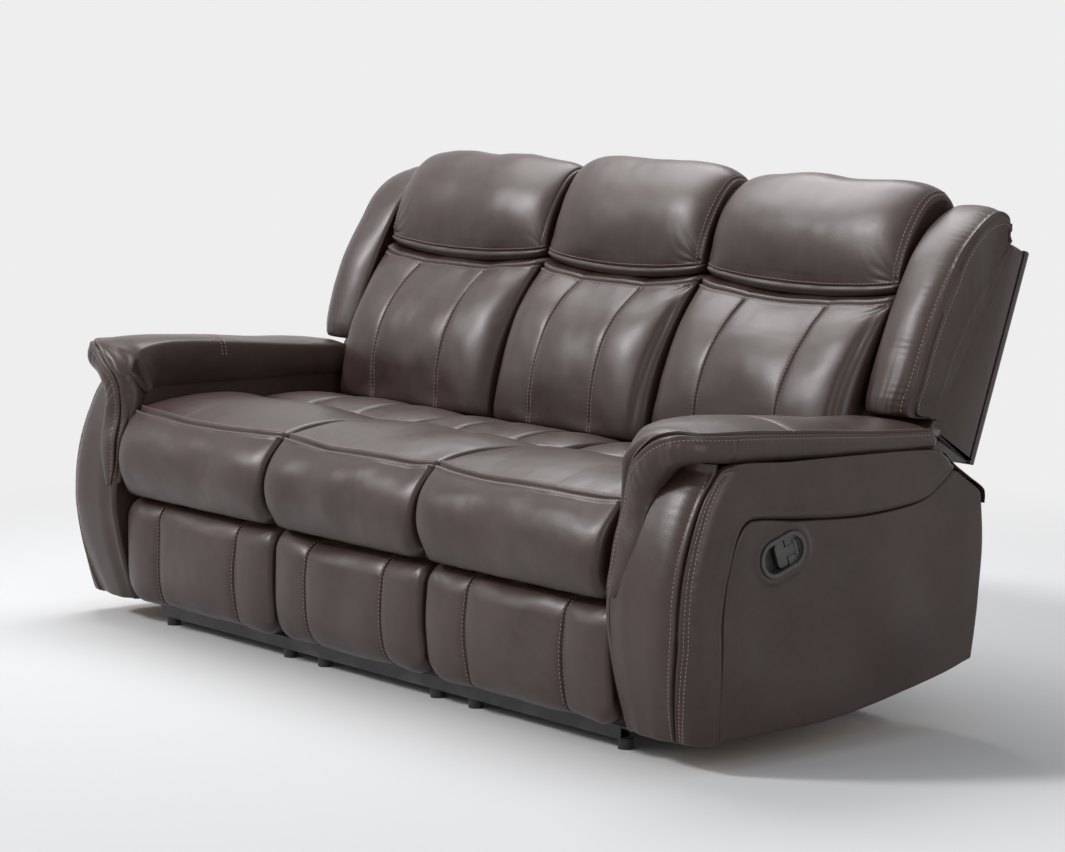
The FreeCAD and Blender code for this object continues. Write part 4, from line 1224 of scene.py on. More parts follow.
@dataclass
class Headrest(Cushion):
    """The upper back cushion, full and rolled over the top of the frame."""

    part: str = "headrest"
    moves_with: str = "back"
    edge: Outline = Outline(
        (on_back(783.5, BACK_FRONT), (268, 763), (350, 925), (412, 932), on_back(883.5, 56.5),
         on_back(883.5, BACK_FRONT)),
        (0, 8, 10, 3, 0, 0),
    )
    crown: Outline = Outline(
        (on_back(783.5, BACK_FRONT), (259, 753), (332, 955), (415, 972), on_back(883.5, 56.5),
         on_back(883.5, BACK_FRONT)),
        (0, 30, 16, 8, 0, 0),
    )
    knots: tuple = (0, 4)
    roll: float = 18.0
    soften: float = 14.0
    spread: float = 40.0
    sag: float = 19.0

    def build(self) -> None:
        """Make the headrest."""
        if self.unit.name != "middle":
            knots = self.crown.knots[:2] + ((331, 944), (414, 961)) + self.crown.knots[4:]
            self.crown = Outline(knots, self.crown.bulges)
        crown = self.paths()[1]
        low, top = crown.place(1), crown.place(3)
        rows = graded(crown.length, [low + 8], 4.5, 1.6, 16.0)
        self.seams = (-self.unit.half + 14, self.unit.half - 14)
        sheet, across, run = self.sheet(rows)
        half = self.unit.half
        end = half - np.abs(across)
        lower(sheet, self.sag * (1 - (across / half) ** 2) * smoothstep((low + 120 - run) / 120))
        self.fill_cloth(sheet, [lambda a, b: a - low, lambda a, b: a - top - 30], 8.0)
        seed = self.unit.seed
        sheet.push(1.8 * Ripple(seed + 31, 260).at(across, run) * smoothstep((run - low) / 50))
        fine = -turned_edge(end, self.roll)
        fine = fine - 2.8 * ridge(run - low - 15, 2.2) + 1.8 * ridge(run - low - 8, 4.6)
        over = np.exp(-np.clip(run - low - 18, 0, None) / 30) * smoothstep((run - low - 16) / 8)
        fine -= 0.4 * puckers(across, 18.0, seed + 33) * over
        near = np.abs(end - 14)
        fine -= (2.4 * ridge(near, 2.0) + 0.8 * ridge(near, 7.0)) * smoothstep((run - low - 30) / 30)
        fine -= folds(end - 8, run - low - 16, (1.05, 0.72, 0.40), 5.0, 62.0) * (across > 0)
        fine -= folds(end - 8, run - low - 16, (1.15, 0.80), 2.6, 40.0) * (across < 0)
        fine += 0.14 * Ripple(seed + 35, 60).at(across, run)
        sheet.push(fine)
        self.finish(sheet)
        self.sew_across(sheet, low + 21.0)
        length = np.arange(low + 34, top - 10, 3.0)
        for offset in (-4.5, 4.0):
            self.sew(sheet, length, np.full_like(length, half - 14 + offset))


@dataclass
class Wing:
    """The padded wing beside a head, with a sewn outer seam and a side band."""

    unit: Unit
    shop: Workshop
    inner_x: float = 818.5
    outer_x: float = 950.0
    low_rear: tuple = (243.0, 532.0)
    top_rear: tuple = (432.5, 856.5)

    def outlines(self) -> list[Path]:
        """The side outlines at the inner face, the crown and the outer seam."""
        rear = (self.low_rear, self.top_rear)
        inner = Outline(
            (rear[0], (190, 540), (288, 817), (402, 916), (446, 900), rear[1]), (0, 6, 14, 4, 0, 0)
        )
        crown = Outline(
            (rear[0], (150, 540), (270, 812), (420, 924), (452, 906), rear[1]), (0, 12, 20, 4, 0, 0)
        )
        outer = Outline(
            (rear[0], (190, 538), (298, 806), (422, 908), (448, 896), rear[1]), (0, 12, 20, 4, 0, 0)
        )
        return [Path.along(outline, 0, 5, 9.0) for outline in (inner, crown, outer)]

    def build(self) -> None:
        """Make the wing."""
        inner, crown, outer = self.outlines()
        width = self.outer_x - self.inner_x
        side = 96.0
        across = graded(width + side, [width], 5.0, 1.5, 12.0)
        low = crown.place(1)
        rows = graded(crown.length, [low], 3.4, 2.0, 10.0)
        run, over = np.meshgrid(rows, across, indexing="ij")
        t = np.clip(over / width, 0, 1)
        full = np.sqrt(np.clip(1 - (np.abs(t - 0.56) / np.where(t < 0.56, 0.56, 0.44)) ** 2.2, 0, 1))
        inward = t < 0.56
        marks = crown.mark(run)
        base = np.where(inward[..., None], inner.at(marks), outer.at(marks))
        flat = base * (1 - full[..., None]) + crown.at(marks) * full[..., None]
        past = np.clip((over - width) / side, 0, 1)[..., None]
        share = np.clip((marks - 0.4) / 4.2, 0, 1)[..., None]
        rear = np.array(self.low_rear) * (1 - share) + np.array(self.top_rear) * share
        flat = flat * (1 - 0.97 * past) + rear * 0.97 * past
        x = self.inner_x + np.minimum(over, width)
        top = crown.place(4)
        bow = 16.0 * ridge(run - top + 30, 75) + 12.0 * ridge(run - low - 6, 45)
        x = x - bow * smoothstep((over - 0.45 * width) / (0.5 * width)) * (1 - past[..., 0])
        points = np.concatenate([x[..., None], flat], axis=2)
        tuck = 14.0 * (1 - smoothstep((run - low + 14) / 50)) * smoothstep(run / 30) * (1 - past[..., 0])
        points[..., 1] += tuck * 0.5
        points[..., 2] += 0.2 * tuck * (over / width)
        core = np.array([(self.inner_x + self.outer_x) / 2 - 20, 300.0, 740.0])
        sheet = Sheet(points, rows, across, core)
        seed = self.unit.seed + 50
        seam = over - width
        live = smoothstep((run - low + 6) / 24)
        sheet.push(live * (1.4 * Ripple(seed, 220).at(over, run)))
        fine = -turned_edge(over, 14.0)
        fine = fine - 3.4 * ridge(seam, 2.4) + 2.4 * ridge(seam + 6, 3.6) + 1.6 * ridge(seam - 6, 3.6)
        front = smoothstep((-seam - 6) / 6) * np.exp(-np.clip(-seam - 8, 0, None) / 22)
        fine -= 1.5 * puckers(run, 14.0, seed + 1) * front * live
        gather = np.exp(-np.clip(run - low, 0, None) / 45) * live
        fine -= 2.6 * puckers(over, 22.0, seed + 3) * gather * (seam < -6)
        piping = np.abs(over - width - side * 0.72)
        fine += 1.6 * ridge(piping, 3.2) * live
        fine += 0.12 * Ripple(seed + 5, 60).at(over, run) * live
        sheet.push(fine)
        shape = Shape()
        edge = sheet.points[:, -1:, :].copy()
        edge[..., 0] = self.inner_x + 2
        closed = np.concatenate([sheet.points, edge], axis=1)
        shape.ring(np.transpose(closed, (1, 0, 2)))
        name = f"{self.unit.name}_wing"
        piece = shape.piece("Leather_" + name, self.unit.mirror)
        self.shop.dress(piece, self.unit.body("back"), (name,), 0.85)
        length = np.arange(low + 10, top + 4, 3.0)
        for offset in (-12.0, 10.0):
            line = sheet.trace(length, np.full_like(length, width + offset), THREAD_LIFT)
            self.shop.sew(self.unit.body("back"), line, self.unit.mirror)


@dataclass
class BackShell:
    """The outer back: a padded panel, on an end seat widened into a box behind the wing."""

    unit: Unit
    shop: Workshop
    thickness: float = 16.0
    bottom: float = 168.0
    top: float = 883.0
    box_bottom: float = 463.0
    wing_x: float = 950.0
    box_front: tuple = ((226, 511), (433, 856))

    def panel(
        self, shape: Shape, low_x: float, high_x: float, first: float, last: float, swell: float,
    ) -> None:
        """Add a padded rear panel.

        Args:
            shape: the shape that it goes into.
            low_x: its left edge.
            high_x: its right edge.
            first: its lower edge, as a length up the back.
            last: its upper edge.
            swell: how far its middle stands out.
        """
        across = graded(high_x - low_x, [], 9.0, 2.0, 8.0)
        along = graded(last - first, [], 10.0, 2.0, 8.0)
        run, over = np.meshgrid(along, across, indexing="ij")
        foot = np.array(on_back(0.0, 0.0))
        up = np.array(on_back(1.0, 0.0)) - foot
        flat = foot + (first + run)[..., None] * up
        points = np.concatenate([(low_x + over)[..., None], flat], axis=2)
        core = points.mean(axis=(0, 1)) + np.array([0, -60.0, 0])
        tilt = math.radians(BACK_TILT)
        inner = points + np.array([0, -self.thickness * math.cos(tilt), self.thickness * math.sin(tilt)])
        sheet = Sheet(points, along, across, core)
        width, height = high_x - low_x, last - first
        edge = np.minimum(np.minimum(over, width - over), np.minimum(run, height - run))
        amount = swell * smoothstep(edge / 120) - turned_edge(edge, 8.0)
        amount += 1.4 * Ripple(self.unit.seed + 60, 160).at(over, run) * smoothstep(edge / 60)
        sheet.push(amount)
        shape.slab(sheet.points, inner)

    def build(self) -> None:
        """Make the shell."""
        shape = Shape()
        centre, half = self.unit.centre, self.unit.half
        self.panel(shape, centre - half + 0.8, centre + half - 0.8, self.bottom, self.top, 5.0)
        self.cap(shape, centre - half + 0.6, centre + half - 0.6)
        if self.unit.name == "middle":
            for edge in (centre - half + 0.4, centre + half - 1.6):
                self.side(shape, edge)
        else:
            self.panel(shape, centre + half + 0.3, self.wing_x, self.box_bottom, self.top, 2.0)
            self.box(shape)
        name = f"{self.unit.name}_back_shell"
        piece = shape.piece("Leather_" + name, self.unit.mirror)
        self.shop.dress(piece, self.unit.body("back"), (name,), None)

    def cap(self, shape: Shape, low_x: float, high_x: float) -> None:
        """The strip that covers the frame's top, from the rear panel to the headrest."""
        across = graded(high_x - low_x, [], 12.0, 2.0, 6.0)
        depths = np.array([-1.5, 0.5, 4.0, 12.0, 24.0, 38.0, 52.0, 56.0])
        lifts = np.array([-3.0, 0.6, 2.6, 3.6, 4.0, 3.6, 3.0, 2.6])
        flat = np.array([on_back(883.2 + lift, depth) for depth, lift in zip(depths, lifts)])
        base = np.array([on_back(883.2, max(depth, 0.0)) for depth in depths])
        run, over = np.meshgrid(np.arange(len(depths)), across, indexing="ij")
        x = (low_x + over)[..., None]
        wave = 0.4 * Ripple(self.unit.seed + 64, 90).at(over, 12.0 * run)[..., None] * np.array([0.0, 1.0])
        shape.slab(np.concatenate([x, flat[run] + wave], axis=2), np.concatenate([x, base[run]], axis=2))

    def side(self, shape: Shape, low_x: float) -> None:
        """The thin leather that closes one side of a fixed back's frame."""
        depths = np.linspace(14.0, 69.0, 9)
        places = np.linspace(200.0, 884.0, 60)
        grid = np.array([[on_back(place, depth) for depth in depths] for place in places])
        outer = np.concatenate([np.full(grid.shape[:2] + (1,), low_x + 1.2), grid], axis=2)
        inner = np.concatenate([np.full(grid.shape[:2] + (1,), low_x), grid], axis=2)
        shape.slab(outer, inner)

    def box(self, shape: Shape) -> None:
        """Add the padded box behind the wing."""
        rear = [on_back(self.box_bottom + 1, 14.0), on_back(self.top - 1, 14.0)]
        knots = (rear[0], self.box_front[0], self.box_front[1], rear[1])
        outline = Outline(knots, (0, 0, 0, 0))
        path = Path.along(outline, 0, 4, 7.0)
        rows = graded(path.length, [path.place(1), path.place(2), path.place(3)], 8.0, 2.5, 10.0)[:-1]
        low_x = self.unit.centre + self.unit.half + 0.5
        across = graded(self.wing_x - low_x, [], 8.0, 1.6, 8.0)
        run, over = np.meshgrid(rows, across, indexing="ij")
        flat = path.at(path.mark(run))
        points = np.concatenate([(low_x + over)[..., None], flat], axis=2)
        core = np.array([(low_x + self.wing_x) / 2, 320.0, 690.0])
        sheet = Sheet(points, rows, across, core)
        end = self.wing_x - low_x - over
        sheet.push(-turned_edge(end, 9.0) - turned_edge(over, 3.0) + 2.0 * smoothstep(end / 60))
        shape.ring(sheet.points)


@dataclass
class Arm:
    """A padded arm: front panel, outer cover, sewn side field and a pad with its front tongue."""

    unit: Unit
    shop: Workshop
    inner_x: float = 838.0
    face_x: float = 1026.0
    seam_angle: float = 0.76
    seam_lean: float = 50.0
    rear_radius: float = 12.0
    cover: float = 15.0
    field_recess: float = 4.0
    latch: tuple = (-208.0, 332.0)
    latch_tilt: float = 18.6
    latch_run: float = 21.0
    latch_radius: float = 32.0
    outline: Outline = Outline(
        ((277, 86), (-167, 12), (-404, 3), (-458, 208), (-400, 448), (-370, 488), (190, 483), (218, 457),
         (298, 405), (291, 160)),
        (15, 0, 6, 17, 0, 0, 0, 0, 6, 0),
    )

    def __post_init__(self) -> None:
        """Sort the front and the rear of the side outline by height, and its lower edge by depth."""
        front = Path.along(self.outline, 2, 5, 6.0)
        rear = Path.along(self.outline, 6, 10, 8.0)
        self.front_line = front.points[np.argsort(front.points[:, 1])]
        self.rear_line = rear.points[np.argsort(rear.points[:, 1])]
        bottom = Path.along(self.outline, 0, 2, 6.0)
        self.bottom_line = bottom.points[np.argsort(bottom.points[:, 0])]

    def front_y(self, z: Array) -> Array:
        """Depth of the arm's front at a height."""
        return np.interp(z, self.front_line[:, 1], self.front_line[:, 0])

    def rear_y(self, z: Array) -> Array:
        """Depth of the arm's rear at a height."""
        return np.interp(z, self.rear_line[:, 1], self.rear_line[:, 0])

    def bottom_z(self, y: Array) -> Array:
        """Height of the arm's lower edge at a depth."""
        return np.interp(y, self.bottom_line[:, 0], self.bottom_line[:, 1])

    def seam_run(self) -> float:
        """The corner seam's length round the arm."""
        return self.face_x - ARM_CORNER - self.inner_x + ARM_CORNER * self.seam_angle

    def seam_at(self, z: Array) -> Array:
        """The corner seam's length round the arm at a height: low down it runs on to the front."""
        return self.seam_run() - self.seam_lean * np.clip(1 - z / 215.0, 0.0, 1.0) ** 1.2

    def side_run(self, y: Array, z: Array) -> Array:
        """Length round the arm of a place on its outer face."""
        start = self.face_x - ARM_CORNER - self.inner_x + ARM_CORNER * math.pi / 2
        return start + y - self.front_y(z) - ARM_CORNER

    def wrapped(self, run: Array, z: Array) -> Array:
        """Places round the arm: along its front, round its corner, along its side and round its rear."""
        flat = self.face_x - ARM_CORNER - self.inner_x
        arc = ARM_CORNER * math.pi / 2
        front = self.front_y(z)
        side = self.rear_y(z) - self.rear_radius - front - ARM_CORNER
        angle = np.clip((run - flat) / ARM_CORNER, 0, math.pi / 2)
        x = self.inner_x + np.clip(run, None, flat) + ARM_CORNER * np.sin(angle)
        y = front + ARM_CORNER * (1 - np.cos(angle)) + np.clip(run - flat - arc, 0, side)
        past = run - flat - arc - side
        turn = np.clip(past / self.rear_radius, 0, math.pi / 2)
        beyond = np.clip(past - self.rear_radius * math.pi / 2, 0, None)
        x = x - self.rear_radius * (1 - np.cos(turn)) - beyond
        y = y + self.rear_radius * np.sin(turn)
        return np.stack([x, y, z], axis=-1)

    def patch(self, run: Array, z: Array, along: Array, across: Array) -> tuple[Sheet, Array]:
        """A sheet round the arm and the hidden grid behind it."""
        points = self.wrapped(run, z)
        core = np.array([920.0, -60.0, 240.0])
        sheet = Sheet(points, along, across, core)
        away = sheet.normals()
        outward = points - np.array([930.0, 0.0, 0.0])
        outward[..., 1] = np.where(points[..., 0] < self.face_x - 30, np.sign(points[..., 1]) * 300, 0)
        outward[..., 2] = 0
        flip = np.sign(np.sum(away * outward))
        if flip < 0:
            away = -away
        return sheet, points - away * self.cover

    def build(self) -> None:
        """Make every leather piece of the arm."""
        self.front_panel()
        self.outer_cover()
        self.side_field()
        self.pad()

    def dress(self, shape: Shape, part: str, fill: float | None) -> None:
        """Finish one piece of the arm."""
        name = f"{self.unit.name}_{part}"
        self.shop.dress(shape.piece("Leather_" + name, self.unit.mirror), "root", (name,), fill)

    def sew(self, sheet: Sheet, along: Array, across: Array) -> None:
        """Sew a row on one of the arm's covers."""
        self.shop.sew("root", sheet.trace(along, across, THREAD_LIFT), self.unit.mirror)

    def front_panel(self) -> None:
        """The padded front, from the inner edge to the corner seam."""
        width = self.seam_run()
        across = graded(width, [], 5.0, 1.5, 10.0)
        along = graded(500.0, [], 4.0, 2.0, 8.0)
        run_up, over = np.meshgrid(along, across, indexing="ij")
        height = run_up + 3.0
        sheet, inner = self.patch(over * self.seam_at(height) / width, height, along, across)
        seed = self.unit.seed + 80
        left = width - over
        bulge = 5.0 * smoothstep(left / 70) * smoothstep(over / 50)
        bulge += 1.0 * Ripple(seed, 230).at(over, run_up)
        sheet.push(bulge)
        fine = -turned_edge(run_up, 7.0) - 4.0 * ridge(left, 2.6) + 2.6 * ridge(left - 6.0, 3.6)
        gather = np.exp(-np.clip(left - 8, 0, None) / 26) * smoothstep((left - 7) / 5)
        fine -= 1.5 * puckers(run_up, 20.0, seed + 1) * gather
        fine += 0.12 * Ripple(seed + 3, 60).at(over, run_up)
        sheet.push(fine)
        shape = Shape()
        shape.slab(sheet.points, inner)
        self.dress(shape, "arm_front_panel", 0.8)
        length = np.arange(10.0, 470.0, 3.0)
        self.sew(sheet, length, np.full_like(length, width - 12.0))

    def outer_cover(self) -> None:
        """The strip from the corner seam over the side field."""
        seam = self.seam_run()
        low_rail = [
            (-352, 5), (-351.5, 70), (-350.5, 135), (-349, 200), (-335, 316), (-322, 366), (-306, 392),
            (-286, 401), (-160, 391), (-28, 385), (70, 390), (149, 403), (196, 432), (222, 452), (282, 455),
        ]
        high_rail = [(float(self.seam_at(z)), z) for z in (4, 70, 135, 200, 330, 395, 450)] + [
            (seam + 8, 497), (-190, 497), (-40, 496), (50, 495), (120, 493), (168, 490), (190, 484),
            (250, 486),
        ]
        inner_points = [(float(self.side_run(y, z)), z) for y, z in low_rail]
        outer_points = [
            (a, z) if index < 8 else (float(self.side_run(a, z)), z) for index, (a, z) in enumerate(high_rail)
        ]
        inside, outside = Path.through(inner_points), Path.through(outer_points)
        along = graded(inside.length, [], 6.0, 2.0, 8.0)
        across = graded(100.0, [], 5.0, 1.5, 10.0)
        run, over = np.meshgrid(along, across, indexing="ij")
        marks = inside.mark(run)
        share = (over / 100.0)[..., None]
        flat = inside.at(marks) * (1 - share) + outside.at(marks) * share
        sheet, inner = self.patch(flat[..., 0], flat[..., 1], along, across)
        real = np.linalg.norm(inside.at(marks) - outside.at(marks), axis=2) / 100.0
        from_field, from_seam = over * real, (100.0 - over) * real
        seed = self.unit.seed + 90
        sheet.push(3.0 * smoothstep(from_field / 40) * smoothstep(from_seam / 30)
                   + 1.0 * Ripple(seed, 230).at(over, run))
        corner = marks < 7.2
        fine = -turned_edge(from_field, 8.0) + 1.6 * ridge(from_field - 12, 5.0)
        fine = fine - corner * (4.0 * ridge(from_seam, 2.6) - 2.6 * ridge(from_seam - 6.0, 3.6))
        fine -= turned_edge(run, 7.0)
        gather = corner * np.exp(-np.clip(from_seam - 8, 0, None) / 22) * smoothstep((from_seam - 7) / 5)
        fine -= 1.2 * puckers(run, 20.0, seed + 1) * gather
        fine += 0.12 * Ripple(seed + 3, 60).at(over, run)
        sheet.push(fine)
        shape = Shape()
        shape.slab(sheet.points, inner)
        self.rear_cap(shape)
        self.dress(shape, "arm_outer_cover", 0.7)
        length = np.arange(10.0, inside.place(6.6), 3.0)
        wide = np.linalg.norm(inside.at(inside.mark(length)) - outside.at(inside.mark(length)), axis=1)
        self.sew(sheet, length, 100.0 - 12.0 * 100.0 / wide)
        self.sew(sheet, length, 100.0 - 20.0 * 100.0 / wide)

    def rear_cap(self, shape: Shape) -> None:
        """The leather that closes the arm's sloping top behind the pad."""
        path = Path.through([
            (176, 486.4), (192, 485.6), (206, 474.0), (221, 460.0), (260, 434.2), (299, 408.4),
            (303, 396.0), (302, 380.0),
        ])
        rows = graded(path.length, [], 6.0, 3.0, 6.0)
        width = 184.0
        across = graded(width, [], 7.0, 1.6, 8.0)
        flat = path.at(path.mark(rows))
        along = np.gradient(flat, axis=0)
        away = np.column_stack([-along[:, 1], along[:, 0]])
        away *= np.sign(away[0, 1]) / np.linalg.norm(away, axis=1, keepdims=True)
        run, over = np.meshgrid(np.arange(len(rows)), across, indexing="ij")
        edge = np.minimum(over, width - over)
        lift = 1.4 * smoothstep(edge / 30) - turned_edge(edge, 4.0) * 0.5
        seen = flat[run] + away[run] * lift[..., None]
        hidden = flat[run] - away[run] * 2.6
        x = (self.inner_x + 1.0 + over)[..., None]
        shape.slab(np.concatenate([x, seen], axis=2), np.concatenate([x, hidden], axis=2))

    def side_field(self) -> None:
        """The sewn field of the outer face, turned round the rear of the arm."""
        bottom_y = np.linspace(-352.0, 280.0, 40)
        bottom = Path.through([(float(self.side_run(y, self.bottom_z(y))), float(self.bottom_z(y)))
                               for y in bottom_y])
        top_knots = [(-306, 392), (-286, 401), (-160, 391), (-28, 385), (70, 390), (149, 403), (196, 432),
                     (216, 449)]
        top = Path.through([(float(self.side_run(y, z)), z) for y, z in top_knots])
        front = Path.through([(float(self.side_run(y, z)), z) for y, z in
                              ((-352, 5), (-349, 195), (-335, 316), (-322, 366), (-306, 392))])
        rear_z = np.linspace(float(self.bottom_z(280.0)), 449.0, 30)
        rear_y = np.minimum(self.rear_y(rear_z) - self.rear_radius, 286.0)
        rear_y[-1] = 216.0
        rear = Path.through([(float(self.side_run(y, z)), float(z)) for y, z in zip(rear_y, rear_z)])
        width, height = 600.0, 390.0
        spots = [width * s for s in (0.13, 0.19, 0.25, 0.31)]
        levels = [height * s for s in (0.72, 0.79, 0.86, 0.93)]
        turn = graded(190.0, [], 8.0, 3.0, 6.0)[1:]
        across = graded(width, spots, 8.0, 2.2, 14.0)
        along = graded(height, levels, 8.0, 2.2, 12.0)
        u, v = across / width, along / height
        low = bottom.at(bottom.mark(u * bottom.length))[None, :, :]
        high = top.at(top.mark(u * top.length))[None, :, :]
        left = front.at(front.mark(v * front.length))[:, None, :]
        right = rear.at(rear.mark(v * rear.length))[:, None, :]
        uu, vv = u[None, :, None], v[:, None, None]
        corners = ((1 - uu) * (1 - vv) * low[:, :1] + uu * (1 - vv) * low[:, -1:]
                   + (1 - uu) * vv * high[:, :1] + uu * vv * high[:, -1:])
        flat = (1 - vv) * low + vv * high + (1 - uu) * left + uu * right - corners
        more = np.repeat(flat[:, -1:, :], len(turn), axis=1)
        more[..., 0] += turn[None, :]
        flat = np.concatenate([flat, more], axis=1)
        across = np.concatenate([across, width + turn])
        sheet, inner = self.patch(flat[..., 0], flat[..., 1], along, across)
        run, over = np.meshgrid(along, across, indexing="ij")
        seed = self.unit.seed + 100
        spot = sheet.points[..., 1:] - np.array(self.latch)
        tilt = math.radians(self.latch_tilt)
        a = spot[..., 0] * math.cos(tilt) + spot[..., 1] * math.sin(tilt)
        b = -spot[..., 0] * math.sin(tilt) + spot[..., 1] * math.cos(tilt)
        radius = np.hypot(np.maximum(np.abs(a) - self.latch_run, 0), b)
        on_side = sheet.points[..., 0] > self.face_x - 8
        edge = np.minimum(over, height - run)
        broad = -self.field_recess + 2.5 * smoothstep(edge / 60) * smoothstep((radius - 48) / 60)
        broad = broad + 2.0 * Ripple(seed, 210).at(over, run) * smoothstep((radius - 40) / 50)
        sheet.push(broad)
        fine = -turned_edge(edge, 9.0) - turned_edge(run, 7.0)
        fine = fine + 2.6 * ridge(radius - 41, 7.0) * on_side
        fine += 0.15 * Ripple(seed + 3, 70).at(over, run) * smoothstep((radius - 38) / 10)
        sheet.push(fine)
        middle = (radius[1:, 1:] + radius[:-1, :-1] + radius[1:, :-1] + radius[:-1, 1:]) / 4
        keep = (middle > self.latch_radius) | ~on_side[:-1, :-1]
        shape = Shape()
        shape.slab(sheet.points, inner, keep)
        self.dress(shape, "arm_side_panel", 0.6)

    def pad(self) -> None:
        """The top pad in one cover with its front tongue and the arm's inner face."""
        seam = [(1008, 188, 520), (1010, 120, 525), (1010, 0, 532), (1010, -120, 541), (1010, -240, 549),
                (1009, -323, 553), (1000, -385, 557), (972, -418, 559), (930, -429, 547), (890, -431, 520),
                (863, -426, 495), (850, -423, 462), (842, -427, 412), (836, -443, 360), (832, -449, 302),
                (838, -456, 262)]
        lower = [(1012, 188, 489), (1014, 120, 491), (1014, 0, 494), (1014, -120, 497), (1014, -240, 500),
                 (1013, -330, 503), (1004, -385, 507), (974, -409, 499), (938, -404, 474), (915, -408, 447),
                 (907, -420, 424), (904, -432, 398), (903, -439, 374), (900, -445, 345), (886, -451, 295),
                 (856, -459, 256)]
        roll = [(836, 188, 520), (834, 120, 531), (833, 0, 541), (833, -120, 552), (833, -240, 561),
                (833, -320, 562), (832, -375, 552), (831, -398, 532), (830, -408, 510), (829, -412, 490),
                (828, -414, 470), (827, -415, 440), (827, -419, 400), (827, -434, 352), (827, -443, 300),
                (834, -453, 262)]
        drop = [(822.5, 188, 470)] + [(822.5, y, z) for y, z in (
            (120, 470), (0, 470), (-120, 470), (-240, 470), (-318, 470), (-348, 468), (-362, 464),
            (-370, 460), (-376, 452), (-382, 442), (-387, 424), (-396, 392), (-414, 348), (-426, 300),
            (-440, 266))]
        under = [(990, y, z + 3) for _, y, z in lower[:6]] + [
            (984, -368, 508), (960, -380, 503), (930, -378, 480), (908, -390, 452), (900, -404, 428),
            (897, -416, 400), (896, -424, 376), (893, -431, 346), (880, -438, 297), (853, -446, 260)]
        rails = [Path.through(knots) for knots in (under, lower, seam, roll, drop)]
        guide = rails[2]
        cross_seam, butt_seam = guide.place(3.45), guide.place(4.95)
        along = graded(guide.length, [cross_seam], 4.0, 1.8, 10.0)
        marks = guide.mark(along)
        widths = (22.0, 60.0, 190.0, 70.0)
        bulges = (0.0, 19.0, 13.0, 6.0)
        limits = np.concatenate([[0.0], np.cumsum(widths)])
        across = graded(limits[-1], [limits[1], limits[2]], 5.0, 1.5, 14.0)
        core = Path.through([
            (925, 188, 480), (925, 0, 480), (925, -240, 490), (915, -330, 490), (890, -360, 480),
            (880, -380, 420), (870, -395, 340), (860, -410, 262),
        ])
        middle = core.at(core.mark(along / guide.length * core.length))
        tangent = np.gradient(guide.at(marks), axis=0)
        points = np.zeros((len(along), len(across), 3))
        for k, (width, bulge) in enumerate(zip(widths, bulges)):
            chosen = (across >= limits[k] - 1e-6) & (across <= limits[k + 1] + 1e-6)
            share = ((across[chosen] - limits[k]) / width)[None, :, None]
            start, end = rails[k].at(marks)[:, None, :], rails[k + 1].at(marks)[:, None, :]
            chord = end - start
            away = np.cross(tangent[:, None, :], chord)
            away /= np.maximum(np.linalg.norm(away, axis=2, keepdims=True), 1e-9)
            sign = np.sign(np.sum(away * ((start + end) / 2 - middle[:, None, :]), axis=2, keepdims=True))
            size = np.linalg.norm(chord, axis=2, keepdims=True)
            firm = (0.30 - 0.12 * smoothstep((marks - 7.5) / 3.0))[:, None, None]
            rise = np.minimum(bulge, firm * size)
            points[:, chosen] = start + chord * share + away * sign * rise * (4 * share * (1 - share)) ** 0.8
        sheet = Sheet(points, along, across, middle.mean(axis=0))
        run, over = np.meshgrid(along, across, indexing="ij")
        from_seam = over - limits[2]
        front = smoothstep((marks - 5.2) / 0.8)[:, None] * smoothstep((11.5 - marks) / 1.5)[:, None]
        seed = self.unit.seed + 120
        on_top = (over > limits[2]) & (over < limits[3])
        swell = 1.2 * Ripple(seed, 210).at(over, run) * smoothstep((over - limits[1]) / 30)
        swell *= smoothstep((limits[3] - over) / 30)
        away = self.pad_normals(sheet, middle)
        body = points + away * swell[..., None]
        fine = 3.2 * ridge(np.abs(from_seam) - 5.0, 3.2) - 3.6 * ridge(from_seam, 2.2)
        under_seam = smoothstep((-from_seam - 8) / 8) * np.exp(-np.clip(-from_seam - 14, 0, None) / 22)
        fine -= (2.6 * front * puckers(run, 22.0, seed + 1) + 0.7 * puckers(run, 15.0, seed + 2)) * under_seam
        over_seam = smoothstep((from_seam - 8) / 8) * np.exp(-np.clip(from_seam - 12, 0, None) / 26)
        fine -= (1.0 * front * puckers(run, 27.0, seed + 4) + 0.4 * puckers(run, 17.0, seed + 5)) * over_seam
        cross = run - cross_seam
        fine -= on_top * (3.2 * ridge(cross, 2.4) + 1.5 * ridge(cross, 8.0)) * smoothstep(from_seam / 14)
        butt = run - butt_seam
        fine -= (over < limits[2] - 8) * smoothstep((over - limits[1]) / 8) * 2.8 * ridge(butt, 2.2)
        fine -= turned_edge(run, 26.0)
        fine += 0.1 * Ripple(seed + 7, 60).at(over, run)
        sheet.points = body + away * fine[..., None]
        inner = sheet.points - away * 9.0
        end = sheet.points[:1].mean(axis=1, keepdims=True)
        closed = np.concatenate([end + (sheet.points[:1] - end) * 0.06, sheet.points])
        shape = Shape()
        shape.slab(closed, np.concatenate([end + (inner[:1] - end) * 0.05, inner]))
        self.inner_face(shape)
        self.dress(shape, "arm_pad", 0.85)
        length = np.arange(34.0, guide.length - 14.0, 3.0)
        for offset in (-11.0, 11.0):
            self.sew(sheet, length, np.full_like(length, limits[2] + offset))
        span = np.arange(limits[2] + 16, limits[3] + 26, 3.0)
        for offset in (-5.0, 5.0):
            self.sew(sheet, np.full_like(span, cross_seam + offset), span)

    def pad_normals(self, sheet: Sheet, middle: Array) -> Array:
        """The pad's normals, each turned away from the pad's core line."""
        away = sheet.normals()
        facing = np.sum(away * (sheet.points - middle[:, None, :]))
        return away if facing > 0 else -away

